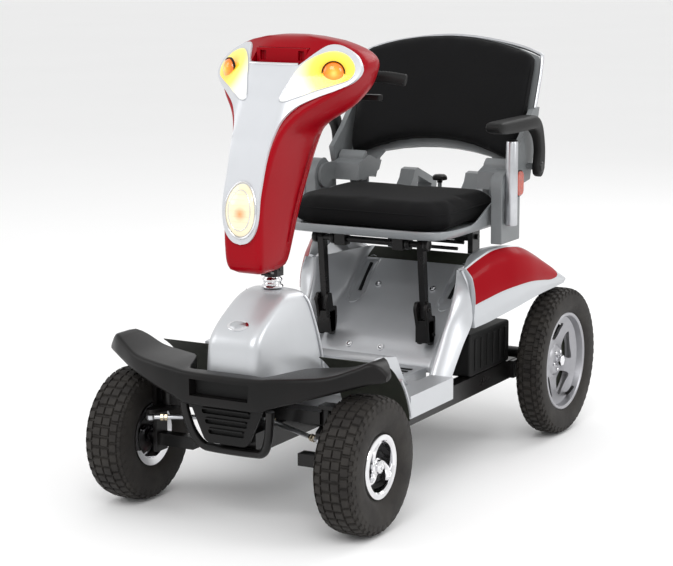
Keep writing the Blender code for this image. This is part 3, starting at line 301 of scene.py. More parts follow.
def curved(points, steps=6, closed=False):
    """Catmull-Rom points through a few guides."""
    guides = [Vector(p) for p in points]
    if closed:
        padded = [guides[-1]] + guides + guides[:2]
    else:
        padded = [guides[0] * 2 - guides[1]] + guides + [guides[-1] * 2 - guides[-2]]
    path = []
    for a, b, c, d in zip(padded, padded[1:], padded[2:], padded[3:]):
        for i in range(steps):
            t = i / steps
            path.append(0.5 * (2 * b + (c - a) * t + (2 * a - 5 * b + 4 * c - d) * t * t
                + (3 * b - a - 3 * c + d) * t ** 3))
    return path if closed else path + [guides[-1]]


def tube(name, path, radius, sides=14, closed=False):
    """A round bar along points, of one radius or of a radius for each point."""
    points = [Vector(p) for p in path]
    count = len(points)
    rings, side = [], None
    for i, point in enumerate(points):
        after = points[(i + 1) % count] if closed else points[min(i + 1, count - 1)]
        before = points[i - 1] if closed else points[max(i - 1, 0)]
        tangent = (after - before).normalized()
        guess = side or (Vector((0, 0, 1)) if abs(tangent.z) < 0.9 else Vector((0, 1, 0)))
        side = (guess - tangent * guess.dot(tangent)).normalized()
        other = tangent.cross(side)
        r = radius[i] if isinstance(radius, (list, tuple)) else radius
        rings.append([point + (side * cos(2 * pi * k / sides) + other * sin(2 * pi * k / sides)) * r
            for k in range(sides)])
    return loft(name, rings, closed)


def boolean(obj, others, operation="DIFFERENCE"):
    for other in others:
        modifier = obj.modifiers.new("boolean", "BOOLEAN")
        modifier.operation = operation
        modifier.solver = "EXACT"
        modifier.object = other
        settle(obj)
        bpy.data.objects.remove(other)
    return obj


def join(name, parts):
    """Several meshes as one piece."""
    bm = bmesh.new()
    for part in parts:
        bm.from_mesh(part.data)
        bpy.data.objects.remove(part)
    data = bpy.data.meshes.new(name)
    bm.to_mesh(data)
    bm.free()
    return linked(name, data)


def rounded(outline, radii, steps=5):
    """Round a polygon's corners with quadratic curves, by a radius for each corner."""
    made = []
    count = len(outline)
    for i, corner in enumerate(outline):
        corner = Vector(corner)
        before, after = Vector(outline[i - 1]), Vector(outline[(i + 1) % count])
        r = radii[i] if isinstance(radii, (list, tuple)) else radii
        start = corner + (before - corner).normalized() * min(r, (before - corner).length * 0.49)
        end = corner + (after - corner).normalized() * min(r, (after - corner).length * 0.49)
        for k in range(steps + 1):
            t = k / steps
            made.append(start * (1 - t) ** 2 + corner * (2 * t * (1 - t)) + end * t * t)
    return made


def between(table, key):
    """Smooth values from a table whose rows start with a rising key."""
    rows = list(table)
    if key <= rows[0][0]:
        return list(rows[0][1:])
    if key >= rows[-1][0]:
        return list(rows[-1][1:])
    k = next(i for i in range(len(rows) - 1) if rows[i + 1][0] >= key)
    a, b, c, d = rows[max(k - 1, 0)], rows[k], rows[k + 1], rows[min(k + 2, len(rows) - 1)]
    span = c[0] - b[0]
    t = (key - b[0]) / span
    made = []
    for j in range(1, len(b)):
        m0 = (c[j] - a[j]) / (c[0] - a[0]) * span
        m1 = (d[j] - b[j]) / (d[0] - b[0]) * span
        made.append((2 * t ** 3 - 3 * t * t + 1) * b[j] + (t ** 3 - 2 * t * t + t) * m0
            + (3 * t * t - 2 * t ** 3) * c[j] + (t ** 3 - t * t) * m1)
    return made


def smoothstep(low, high, x):
    t = min(1.0, max(0.0, (x - low) / (high - low)))
    return t * t * (3 - 2 * t)


def bevel(obj, width, segments=2, angle=35):
    made = obj.modifiers.new("soft edges", "BEVEL")
    made.width = width
    made.segments = segments
    made.limit_method = "ANGLE"
    made.angle_limit = radians(angle)
    made.harden_normals = True
    return obj


def piece(obj, body, mat, nodes=(), soft=0.0, sharp=40, shift=True):
    """Finish a shape: move it into the frame, paint it, and let it ride on its body. A material's
    record slot is looked up, or given as a pair with it, but nothing uses it."""
    mat, slot = mat if isinstance(mat, tuple) else (mat, SLOTS[mat])
    if shift:
        obj.data.transform(Matrix.Translation((0, AXLE_Y, 0)))
    obj.data.materials.clear()
    obj.data.materials.append(mat)
    for face in obj.data.polygons:
        face.material_index = 0
    obj.data.shade_smooth()
    obj.data.set_sharp_from_angle(angle=radians(sharp))
    if soft:
        bevel(obj, soft)
    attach(obj, body)
    if nodes:
        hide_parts(*nodes)
    return obj


def refined(node_name, body, mat, soft=0.0012, sharp=35):
    """A CAD solid with its edges softened and a real finish."""
    data = solid_mesh(node_name)
    obj = linked(node_name + "_shown", data)
    for name in [a.name for a in data.attributes if a.name.startswith("custom_normal")]:
        data.attributes.remove(data.attributes[name])
    bm = bmesh.new()
    bm.from_mesh(data)
    bmesh.ops.remove_doubles(bm, verts=bm.verts, dist=1e-6)
    bmesh.ops.dissolve_limit(bm, angle_limit=radians(1), verts=bm.verts, edges=bm.edges)
    bm.to_mesh(data)
    bm.free()
    return piece(obj, body, mat, (node_name,), soft, sharp, shift=False)


def screw(name, centre, direction, radius, body, mat=None):
    """A domed cap screw with a hexagon socket."""
    r = radius
    profile = [(0, 0.25 * r), (0.45 * r, 0.25 * r), (0.5 * r, 0.62 * r), (0.7 * r, 0.7 * r),
        (0.95 * r, 0.45 * r), (r, 0.0), (r, -0.3 * r), (0, -0.3 * r)]
    obj = aimed(lathe(name, profile, (0, 0, 0), "Z", steps=24), centre, direction)
    return piece(obj, body, (mat or CHROME, "chrome"), sharp=30)


# ---------------------------------------------------------------- wheels
# How far up the section and how far out, from the bead to the crown.
TYRE_SECTION = ((0.005, 0.76), (0.08, 0.86), (0.26, 0.965), (0.5, 1.0), (0.72, 0.975), (0.88, 0.9),
    (0.965, 0.7), (1.0, 0.38), (1.0, 0.0))
# Rows of tread blocks: start and end (0 at the crown, 1 at the bead), offset and gap in pitches.
FRONT_BANDS = ((0.01, 0.135, 0.0, 0.24), (0.16, 0.29, 0.5, 0.24), (0.32, 0.4, 0.0, 0.3),
    (0.415, 0.52, 0.5, 0.42))
REAR_BANDS = ((0.0, 0.085, 0.5, 0.34), (0.12, 0.215, 0.0, 0.34), (0.25, 0.345, 0.5, 0.34),
    (0.375, 0.48, 0.0, 0.42))


def tread_depth(s, phase, bands):
    """How deep the tread is cut, from 0 to 1, at a place across and a pitch phase."""
    s = abs(s)
    for low, high, offset, gap in bands:
        if low <= s <= high:
            return 1.0 if (phase + offset) % 1.0 < gap else 0.0
    return 1.0 if s < bands[-1][1] else 0.0


def tyre(label, side, front):
    low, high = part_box(f"{label}_tyre")
    centre = (low + high) / 2 - Vector((0, AXLE_Y, 0))
    radius, half = (high.z - low.z) / 2, (high.x - low.x) / 2
    bore = 0.0621 if front else 0.1079
    guides = [(bore + (radius - bore) * q, a * half, 0) for q, a in TYRE_SECTION]
    section = curved(guides, 6)
    bands = FRONT_BANDS if front else REAR_BANDS
    places = {edge + off for band in bands for edge in band[:2] for off in (-0.004, 0.004)}
    places |= {0.55 + 0.45 * k / 9 for k in range(10)} | {0.0}
    places = sorted(s for s in places if 0 <= s)
    if bands[0][0] == 0:
        places = [s for s in places if s == 0 or s > 0.01]
    across = []
    for s in places:
        spot = (1 - s) * (len(section) - 1)
        k = min(int(spot), len(section) - 2)
        here = section[k].lerp(section[k + 1], spot - k)
        across.append((here.x, here.y, s))
    across = across[::-1] + [(r, -a, -s) for r, a, s in across if s > 0]
    pitches, parts, cut = (40, 8, 0.004) if front else (52, 8, 0.0046)
    rings = []
    for i in range(pitches * parts):
        angle = 2 * pi * i / (pitches * parts)
        ring = []
        for r, a, s in across:
            shift = 0.12 * s if s > 0 else -0.12 * s
            deep = cut * tread_depth(s, (i % parts) / parts + shift, bands)
            ring.append(centre + Vector((a * side, (r - deep) * cos(angle), (r - deep) * sin(angle))))
        for a in (-0.7, 0.7):
            ring.append(centre + Vector((a * half * side, (bore - 0.001) * cos(angle),
                (bore - 0.001) * sin(angle))))
        rings.append(ring)
    body = "front_wheel_" if front else "rear_wheel_"
    obj = loft(f"{label}_tyre_shown", rings, closed=True)
    piece(obj, body + label.split("_")[1], RUBBER, (f"{label}_tyre",), sharp=28)


def front_rim(label, side):
    outer = 0.0617
    mid = Vector((side * FRONT_TRACK, 0, FRONT_AXLE_Z))
    body = "front_wheel_" + label.split("_")[1]
    ring = [(0.0475, -0.034), (outer, -0.036), (outer, -0.032), (outer - 0.004, -0.028),
        (outer - 0.004, 0.026), (outer, 0.03), (outer, 0.0335), (0.06, 0.0368), (0.056, 0.038),
        (0.05, 0.0376), (0.0472, 0.0345), (0.0468, 0.028), (0.0475, 0.0)]
    parts = [lathe("ring", ring, mid, "X", side, 96)]
    hub = [(0, 0.0375), (0.0075, 0.037), (0.012, 0.0345), (0.013, 0.03), (0.015, 0.029),
        (0.0165, 0.0265), (0.0175, 0.018), (0.019, -0.036), (0, -0.036)]
    parts.append(lathe("hub", hub, mid, "X", side, 48))
    for spoke in range(3):
        rings = []
        for i in range(11):
            t = i / 10
            r = 0.011 + 0.0385 * t
            angle = 2 * pi * spoke / 3 + 0.25 + side * -0.95 * t ** 1.3
            width = 0.0085 - 0.0028 * sin(pi * t) + 0.005 * t ** 3
            out = Vector((0, cos(angle), sin(angle)))
            along = Vector((0, -sin(angle), cos(angle)))
            rise = 0.024 + 0.007 * t
            section = [(-1, -0.004), (-0.8, 0.001), (-0.3, 0.0035), (0.3, 0.0035), (0.8, 0.001),
                (1, -0.004), (0.5, -0.007), (-0.5, -0.007)]
            rings.append([mid + out * r + along * (w * width) + Vector((side * (rise + h), 0, 0))
                for w, h in section])
        parts.append(loft("spoke", rings))
    piece(join(f"{label}_rim_shown", parts), body, CHROME, (f"{label}_rim",), sharp=35)
    dish = [(0, -0.006), (0.019, -0.006), (0.03, -0.012), (0.0455, -0.004), (0.0455, -0.008),
        (0.03, -0.016), (0, -0.012)]
    piece(lathe(f"{label}_dish", dish, mid, "X", side, 64), body, STEEL)
    nut = [mid + Vector((side * 0.0365, 0.005 * cos(pi * k / 3), 0.005 * sin(pi * k / 3)))
        for k in range(6)]
    cap = loft(f"{label}_nut", [nut, [p + Vector((side * 0.003, 0, 0)) for p in nut]])
    piece(cap, body, CHROME, soft=0.0006)


def rear_rim(label, side):
    mid = Vector((side * REAR_TRACK, *REAR_AXLE))
    outer = 0.1075
    body = "rear_wheel_" + label.split("_")[1]
    ring = [(0.099, -0.0225), (outer, -0.023), (outer, -0.019), (outer - 0.004, -0.015),
        (outer - 0.004, 0.015), (outer, 0.0185), (outer, 0.0215), (0.1055, 0.0236), (0.102, 0.0238),
        (0.0995, 0.0215), (0.0975, 0.012), (0.096, 0.002), (0.096, -0.015)]
    face = [(0, 0.003), (0.026, 0.003), (0.03, 0.0015), (0.034, -0.0025), (0.048, -0.006),
        (0.07, -0.003), (0.088, 0.003), (0.097, 0.0085), (0.097, 0.002), (0.088, -0.003), (0.07, -0.01),
        (0.048, -0.013), (0.026, -0.015), (0, -0.015)]
    disc = lathe("disc", face, mid, "X", side, 96)
    cutters = []
    for k in range(5):
        angle = 2 * pi * (k + 0.22) / 5
        corners = [(0.046, -0.27), (0.046, 0.27), (0.088, 0.46), (0.088, -0.46)]
        window = rounded([(mid.y + r * cos(angle + a), mid.z + r * sin(angle + a), 0)
            for r, a in corners], 0.016, 6)
        cutters.append(plate("window", [(p.x, p.y) for p in window], mid.x - 0.05, mid.x + 0.05))
    boolean(disc, cutters)
    parts = [lathe("ring", ring, mid, "X", side, 96), disc]
    obj = join(f"{label}_rim_shown", parts)
    piece(obj, body, ALLOY, (f"{label}_rim",), sharp=30, soft=0.001)
    hub = [(0.0066, -0.034), (0.028, -0.034), (0.03, -0.03), (0.03, -0.014), (0.0066, -0.014)]
    piece(lathe(f"{label}_hub", hub, mid, "X", side, 48), body, STEEL)
    drum = [(0.03, -0.016), (0.088, -0.016), (0.09, -0.0185), (0.088, -0.021), (0.03, -0.021)]
    piece(lathe(f"{label}_drum", drum, mid, "X", side, 64), body, (LINER_AND_SHADE, "black_steel"))
    hexagon = [(mid.y + 0.0125 * cos(pi * k / 3), mid.z + 0.0125 * sin(pi * k / 3)) for k in range(6)]
    x0, x1 = sorted((mid.x + side * 0.003, mid.x + side * 0.016))
    piece(plate(f"{label}_nut", hexagon, x0, x1), body, CHROME, soft=0.001)
    for k in range(5):
        angle = 2 * pi * (k + 0.72) / 5
        spot = mid + Vector((side * 0.0035, 0.021 * cos(angle), 0.021 * sin(angle)))
        screw(f"{label}_bolt_{k}", spot, (side, 0, 0), 0.0042, body)
    angle = radians(-62)
    out = Vector((0, cos(angle), sin(angle)))
    stem = [mid + out * 0.098 + Vector((side * 0.004, 0, 0)),
        mid + out * 0.09 + Vector((side * 0.014, 0, 0)),
        mid + out * 0.074 + Vector((side * 0.026, 0, 0))]
    piece(tube(f"{label}_valve", curved(stem, 4), 0.0036, 12), body, BLACK)


def wheels():
    for label, side in SIDES:
        tyre(f"front_{label}", side, True)
        tyre(f"rear_{label}", side, False)
        front_rim(f"front_{label}", side)
        rear_rim(f"rear_{label}", side)


# ---------------------------------------------------------------- tiller
# Height, half width, front y and rear y of the casing.
CASING = ((0.463, 0.026, 0.01, 0.094), (0.466, 0.032, 0.0, 0.101), (0.472, 0.0365, -0.007, 0.109),
    (0.485, 0.0395, -0.0125, 0.117), (0.51, 0.041, -0.015, 0.128), (0.55, 0.0415, -0.016, 0.146),
    (0.6, 0.042, -0.013, 0.172), (0.65, 0.044, 0.003, 0.2), (0.7, 0.05, 0.022, 0.226),
    (0.735, 0.06, 0.042, 0.246), (0.76, 0.078, 0.056, 0.26), (0.785, 0.112, 0.07, 0.272),
    (0.805, 0.137, 0.083, 0.281), (0.825, 0.153, 0.095, 0.284), (0.843, 0.157, 0.108, 0.282),
    (0.857, 0.151, 0.12, 0.277), (0.87, 0.136, 0.134, 0.266), (0.882, 0.111, 0.146, 0.25),
    (0.89, 0.086, 0.156, 0.238), (0.895, 0.058, 0.164, 0.226),)
SWEEP_FROM, SWEEP = 0.05, 0.62
FACE_LIFT = 0.0045


def swept(x):
    """How far the head's front stands back at this distance from the middle."""
    reach = abs(x) - SWEEP_FROM
    soft = 0.012
    if reach <= -soft:
        return 0.0
    return SWEEP * ((reach + soft) ** 2 / (4 * soft) if reach < soft else reach)


def face_y(x, z):
    return between(CASING, z)[1] + swept(x)


# Height and half width of the head's rear edge, which flares out below the wings.
FLARE = ((0.69, 0.049), (0.712, 0.051), (0.73, 0.067), (0.7465, 0.095), (0.763, 0.12), (0.783, 0.138),
    (0.8025, 0.149), (0.825, 0.154), (0.843, 0.155))


def casing():
    rings = []
    for i in range(61):
        t = i / 60
        z = CASING[0][0] + (CASING[-1][0] - CASING[0][0]) * (t + 0.06 * sin(2 * pi * t) / (2 * pi))
        half, front, rear = between(CASING, z)
        depth = rear - front
        lap = min(0.35 * half, SWEEP_FROM)
        flank = front + swept(half)
        wide = max(half, between(FLARE, z)[0]) if 0.69 < z < 0.843 else half
        right = [(lap, front), (half, flank), (wide, rear - 0.3 * (rear - flank)), (wide * 0.72, rear)]
        outline = right + [(-x, y) for x, y in reversed(right)]
        soft = min(0.02, half * 0.45)
        radii = [0.02, soft * 0.8, 0.3 * depth, soft]
        ring = rounded([(x, y, z) for x, y in outline], radii + radii[::-1], 5)
        rings.append(ring)
    crown = [Vector((p.x * 0.45, 0.195 + (p.y - 0.195) * 0.45, 0.8985)) for p in rings[-1]]
    obj = loft("tiller_casing_shown", rings + [crown])
    mouth = loft("mouth", [[(x, y, z) for x, y in ((-0.0235, 0.064), (0.0235, 0.064), (0.0235, 0.15),
        (-0.0235, 0.15))] for z in (0.44, 0.515)])
    recess = block("recess", (-0.056, 0.06, 0.847), (0.056, 0.15, 0.876))
    boolean(obj, [mouth, recess])
    piece(obj, "tiller", RED, ("tiller_casing",), sharp=45)
    for label, side in SIDES:
        for k, back in enumerate((0.02, 0.026)):
            path = []
            for i in range(25):
                z = 0.515 + 0.195 * i / 24
                half, front, rear = between(CASING, z)
                path.append((side * (half + 0.0001), rear - back - 0.3 * (rear - front) * 0.35, z))
            line = tube(f"tiller_line_{label}_{k}", path, 0.0011, 6)
            piece(line, "tiller", RED)


def skin(name, outline, lift, depth, bulge=None, step=0.004):
    """A plate of an (x, z) outline that lies on the head's front."""
    xs = [p[0] for p in outline]
    zs = [p[1] for p in outline]
    low_x, high_x, low_z, high_z = min(xs) - step, max(xs) + step, min(zs) - step, max(zs) + step
    columns = int((high_x - low_x) / step) + 2
    rows = int((high_z - low_z) / step) + 2
    layers = []
    for back in (0, 1):
        layer = []
        for i in range(rows):
            z = low_z + (high_z - low_z) * i / (rows - 1)
            for j in range(columns):
                x = low_x + (high_x - low_x) * j / (columns - 1)
                y = face_y(x, z) - lift + (depth if back else -(bulge(x, z) if bulge else 0.0))
                layer.append((x, y, z))
        layers.append(layer)
    base = rows * columns
    faces = []
    for i in range(rows - 1):
        for j in range(columns - 1):
            a, b = i * columns + j, (i + 1) * columns + j
            faces.append((a, a + 1, b + 1, b))
            faces.append((base + b, base + b + 1, base + a + 1, base + a))
    rim = list(range(columns)) + [(i + 1) * columns - 1 for i in range(1, rows)]
    rim += list(range(base - 2, base - columns - 1, -1))
    rim += [i * columns for i in range(rows - 2, 0, -1)]
    for a, b in zip(rim, rim[1:] + rim[:1]):
        faces.append((b, a, base + a, base + b))
    slab = mesh(name, layers[0] + layers[1], faces)
    prism = loft("prism", [[(x, y, z) for x, z in outline] for y in (-0.2, 0.5)])
    return boolean(slab, [prism], "INTERSECT")


def edge_line(name, outline, lift, radius, closed=True):
    return tube(name, [(x, face_y(x, z) - lift, z) for x, z in outline], radius, 8, closed)


def flat_curve(points, steps=6, closed=True):
    return [(p.x, p.y) for p in curved([(x, z, 0) for x, z in points], steps, closed)]


def tiller_front():
    wing = [(0.0, 0.5215), (0.017, 0.5265), (0.031, 0.543), (0.0375, 0.57), (0.0385, 0.62),
        (0.0395, 0.67), (0.043, 0.71), (0.05, 0.745), (0.068, 0.771), (0.097, 0.7885), (0.124, 0.8005),
        (0.145, 0.813), (0.1545, 0.827), (0.1535, 0.843), (0.143, 0.859), (0.124, 0.872),
        (0.102, 0.8815), (0.086, 0.881), (0.072, 0.869), (0.06, 0.854)]
    right = flat_curve(wing, 4, closed=False) + [(0.053, 0.8465)]
    outline = right + [(-x, z) for x, z in reversed(right) if x > 0]
    obj = skin("tiller_face_shown", outline, FACE_LIFT, 0.012)
    piece(obj, "tiller", PALE, ("tiller_face",), soft=0.0014, sharp=40)
    lip_z = 0.8475
    lip_xs = [0.013 * (i - 4) for i in range(9)]
    path = [(x, face_y(x, lip_z) - FACE_LIFT - 0.0005, lip_z) for x in lip_xs]
    piece(tube("tiller_lip", path, 0.0028, 10), "tiller", CHROME)
    bar = block("tiller_bar", (-0.055, 0.134, 0.8472), (0.055, 0.152, 0.8755))
    notches = [block("notch", (x - 0.006, 0.12, 0.852), (x + 0.006, 0.142, 0.87))
        for x in (-0.04, 0.043)]
    piece(boolean(bar, notches), "tiller", RED, soft=0.0016)

    drop = [(0.036, 0.787), (0.044, 0.813), (0.053, 0.837), (0.064, 0.853), (0.082, 0.866),
        (0.101, 0.871), (0.123, 0.8645), (0.139, 0.851), (0.147, 0.835), (0.142, 0.8205),
        (0.121, 0.811), (0.095, 0.802), (0.069, 0.79), (0.046, 0.7815)]
    for label, side in SIDES:
        shape = [(side * x, z) for x, z in flat_curve(drop, 5)]
        bulb = Vector((side * 0.113, 0, 0.8325))
        bulb.y = face_y(bulb.x, bulb.z) - FACE_LIFT - 0.001

        def swell(x, z):
            return 0.0035 * max(0.0, 1 - (hypot(abs(x) - 0.098, z - 0.832) / 0.06) ** 2)
        warm = lit(f"turn_lens_{label}", tuple(bulb + Vector((0, AXLE_Y, 0))), 0.085,
            ((1.0, 0.4, 0.01), (1.0, 0.58, 0.02), (1.0, 0.8, 0.1), (1.0, 0.93, 0.55), (0.8, 0.8, 0.76)),
            0.2)
        obj = skin(f"indicator_lens_{label}_shown", shape, FACE_LIFT + 0.0008, 0.006, swell)
        piece(obj, "tiller", (warm, "amber_lens"), (f"indicator_lens_{label}",), sharp=50)
        rim = edge_line(f"indicator_rim_{label}", shape, FACE_LIFT + 0.001, 0.001)
        piece(rim, "tiller", (SILVER, "light_silver"))
        normal = Vector((side * SWEEP, -1, 0)).normalized()
        dome = [(0, 0.0125), (0.006, 0.012), (0.012, 0.01), (0.0175, 0.0065), (0.02, 0.002),
            (0.0205, -0.002), (0, -0.002)]
        glass = aimed(lathe(f"turn_bulb_{label}", dome, (0, 0, 0), "Z", steps=48), bulb, normal)
        glow = lit(f"turn_glow_{label}", tuple(bulb + normal * 0.012 + Vector((0, AXLE_Y, 0))), 0.024,
            ((1.0, 0.62, 0.12), (0.95, 0.33, 0.01), (0.85, 0.2, 0.0), (0.6, 0.1, 0.0)), 0.25)
        piece(glass, "tiller", (glow, "amber_lens"), sharp=50)
        collar = lathe(f"turn_collar_{label}", [(0.0204, -0.001), (0.0204, 0.003), (0.0214, 0.0036),
            (0.0222, 0.0028), (0.0222, -0.001)], (0, 0, 0), "Z", steps=48)
        piece(aimed(collar, bulb, normal), "tiller", BLACK)


def headlight():
    cx, cz, rx, rz = 0.0015, 0.586, 0.033, 0.052

    def oval(scale):
        made, steps = [], 56
        for k in range(steps):
            a = 2 * pi * k / steps
            narrow = 1.0 - 0.05 * sin(a)
            made.append((cx + rx * scale * narrow * cos(a), cz + rz * scale * sin(a)))
        return made

    def swell(x, z):
        return 0.0085 * max(0.0, 1 - hypot((x - cx) / rx, (z - cz) / rz) ** 2)
    middle = (cx + 0.004, face_y(cx, cz) - 0.014 + AXLE_Y, cz - 0.006)
    warm = lit("headlight_glow", middle, 0.06, ((0.8, 0.3, 0.1), (0.85, 0.74, 0.5), (0.86, 0.78, 0.56),
        (0.78, 0.68, 0.46), (0.84, 0.76, 0.56)), 0.1, 0.08)
    obj = skin("headlight_lens_shown", oval(0.93), FACE_LIFT + 0.0006, 0.006, swell, 0.003)
    piece(obj, "tiller", (warm, "clear_lens"), ("headlight_lens",), sharp=50)
    for name, scale, radius in (("headlight_bezel", 1.0, 0.002), ("headlight_ridge", 0.72, 0.0009)):
        path = [(x, face_y(x, z) - FACE_LIFT - (0.0009 if scale == 1.0 else 0.0048), z)
            for x, z in oval(scale)]
        piece(tube(name, path, radius, 10, closed=True), "tiller", CHROME)
    for k in range(7):
        z = cz - 0.03 + 0.01 * k
        width = rx * 0.62 * sqrt(max(0.0, 1 - ((z - cz) / (rz * 0.8)) ** 2))
        xs = [cx + width * (i / 4 - 1) for i in range(9)]
        path = [(x, face_y(cx, z) - FACE_LIFT - 0.0006 - swell(x, z), z) for x in xs]
        piece(tube(f"headlight_flute_{k}", path, 0.0007, 6), "tiller", (warm, "clear_lens"))


def controls():
    refined("tiller_stem", "tiller", STEEL, 0.0008)
    low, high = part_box("handlebar")
    reach, bar_z = high.x, 0.812
    ends = [(reach, 0.335, 0.806), (0.125, 0.326, 0.811), (0.07, 0.318, bar_z)]
    path = ends + [(0, 0.318, bar_z)] + [(-x, y, z) for x, y, z in reversed(ends)]
    parts = [tube("bar", curved(path, 8), 0.0095, 20),
        block("mount", (-0.026, 0.285, 0.801), (0.026, 0.318, 0.823))]
    piece(join("handlebar_shown", parts), "tiller", (STEEL, "black_plastic"), ("handlebar",),
        soft=0.001)
    for label, side in SIDES:
        guides = [(side * x, y, z) for x, y, z in ends]
        line = curved([guides[2], guides[1], guides[0]], 16)
        radii = [0.0112 + (0.0009 if k % 2 else 0.0) for k in range(len(line))]
        radii[0] = radii[-1] = 0.0104
        grip = tube(f"hand_grip_{label}", line, radii, 24)
        piece(grip, "tiller", SOFT_BLACK, sharp=60)
    refined("throttle_lever", "throttle", BLACK, 0.0025)
    refined("horn_button", "horn", REFLECTOR, 0.0012)
    refined("ignition_key", "key", CHROME, 0.0006)
    low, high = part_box("speed_dial")
    centre = (low + high) / 2 - Vector((0, AXLE_Y, 0))
    rings, steps = [], 72
    for r, depth in ((0.0105, 0.0092), (0.0122, 0.008), (0.013, 0.0)):
        ring = []
        for k in range(steps):
            a = 2 * pi * k / steps
            reach = r - (0.0006 if k % 3 == 0 and r > 0.011 else 0.0)
            ring.append((centre.x + reach * sin(a), low.y - AXLE_Y + depth, centre.z + reach * cos(a)))
        rings.append(ring)
    knob = loft("speed_dial_shown", rings)
    piece(knob, "dial", BLACK, ("speed_dial",), sharp=30)
    pointer = block("dial_pointer", (centre.x - 0.0008, high.y - AXLE_Y, centre.z + 0.003),
        (centre.x + 0.0008, high.y - AXLE_Y + 0.0008, centre.z + 0.01))
    piece(pointer, "dial", PALE)
    panel = block("dash", (-0.075, 0.28, 0.805), (0.075, 0.2862, 0.866))
    boolean(panel, [lathe("hole", [(0, -0.02), (r, -0.02), (r, 0.02), (0, 0.02)], (x, 0.2865, z), "Y",
        steps=32) for x, z, r in ((0.035, 0.842, 0.0138), (-0.035, 0.842, 0.0082),
        (0.0, 0.846, 0.0086))])
    piece(panel, "tiller", SOFT_BLACK, soft=0.0015)


# ---------------------------------------------------------------- steering
def steering():
    refined("steering_column", "column", STEEL, 0.0008)
    rings = [(0.0134, 0.4222), (0.016, 0.4222), (0.02, 0.4236), (0.0215, 0.4262), (0.02, 0.4288),
        (0.0165, 0.4302), (0.0172, 0.4322), (0.016, 0.434), (0.0185, 0.4362), (0.0196, 0.4388),
        (0.0185, 0.4414), (0.016, 0.4432), (0.0156, 0.445), (0.0134, 0.445)]
    collar = lathe("column_collar_shown", rings, (0, COLUMN_Y, 0), "Z", steps=64)
    piece(collar, "column", CHROME, ("column_collar",), sharp=50)
    for label, side in SIDES:
        refined(f"knuckle_{label}", f"knuckle_{label}_body", STEEL)
        low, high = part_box(f"tie_rod_{label}")
        z = (low.z + high.z) / 2
        start = Vector((side * 0.011, 0.045, z))
        end = Vector((side * 0.187, -0.05, z))
        way = (end - start).normalized()
        parts = [tube("rod", [start, end], 0.0046, 20)]
        for spot in (start, end):
            ball = [(0, 0.0072), (0.004, 0.007), (0.0085, 0.004), (0.0092, 0.0), (0.0085, -0.004),
                (0.004, -0.007), (0, -0.0072)]
            parts.append(lathe("ball", ball, spot, "Z", steps=32))
        piece(join(f"tie_rod_{label}_shown", parts), f"tie_rod_{label}_body", (ALUMINIUM, "chrome"),
            (f"tie_rod_{label}",))
        for k, reach in enumerate((0.022, 0.03)):
            for tip, sign in ((start, 1), (end, -1)):
                spot = tip + way * (reach * sign)
                nut = loft("nut", [[Vector((0.0072 * cos(pi * j / 3), 0.0072 * sin(pi * j / 3), h))
                    for j in range(6)] for h in (-0.003, 0.003)])
                nut.name = f"tie_nut_{label}_{k}_{'in' if sign > 0 else 'out'}"
                piece(aimed(nut, spot, way), f"tie_rod_{label}_body", BRASS, soft=0.0006)


# ---------------------------------------------------------------- front end
def bumper():
    # x, front y, rear y, lower z, upper z
    stations = ((0.0, -0.104, -0.063, 0.228, 0.289), (0.05, -0.104, -0.063, 0.228, 0.289),
        (0.085, -0.102, -0.063, 0.229, 0.29), (0.104, -0.099, -0.02, 0.236, 0.292),
        (0.125, -0.096, 0.02, 0.243, 0.294), (0.15, -0.091, 0.028, 0.25, 0.296),
        (0.21, -0.072, 0.038, 0.268, 0.303), (0.258, -0.046, 0.045, 0.282, 0.32),
        (0.278, -0.034, 0.032, 0.288, 0.328), (0.296, -0.019, 0.016, 0.29, 0.316),
        (0.302, -0.014, 0.008, 0.293, 0.306))
    rings = []
    for i in range(65):
        x = stations[-1][0] * (i / 32 - 1)
        y0, y1, z0, z1 = between(stations, abs(x))
        corners = [(x, y0, z0), (x, y0 + 0.4 * (y1 - y0), z0), (x, y1, z0 + 0.3 * (z1 - z0)),
            (x, y1, z1), (x, y0 + 0.004, z1)]
        rings.append(rounded(corners, [0.01, 0.01, 0.008, 0.006, 0.009], 4))
    obj = loft("bumper_shown", rings)
    hold = loft("hold", [[(x, y, z) for x, z in ((-w, 0.246), (w, 0.246), (w + 0.002, 0.277),
        (-w - 0.002, 0.277))] for y, w in ((-0.12, 0.066), (-0.082, 0.06))])
    boolean(obj, [hold])
    piece(obj, "chassis", BLACK, ("bumper",), soft=0.0012, sharp=50)
    hollow = block("bumper_hold_back", (-0.0585, -0.0835, 0.247), (0.0585, -0.0822, 0.2765))
    piece(hollow, "chassis", SOFT_BLACK)


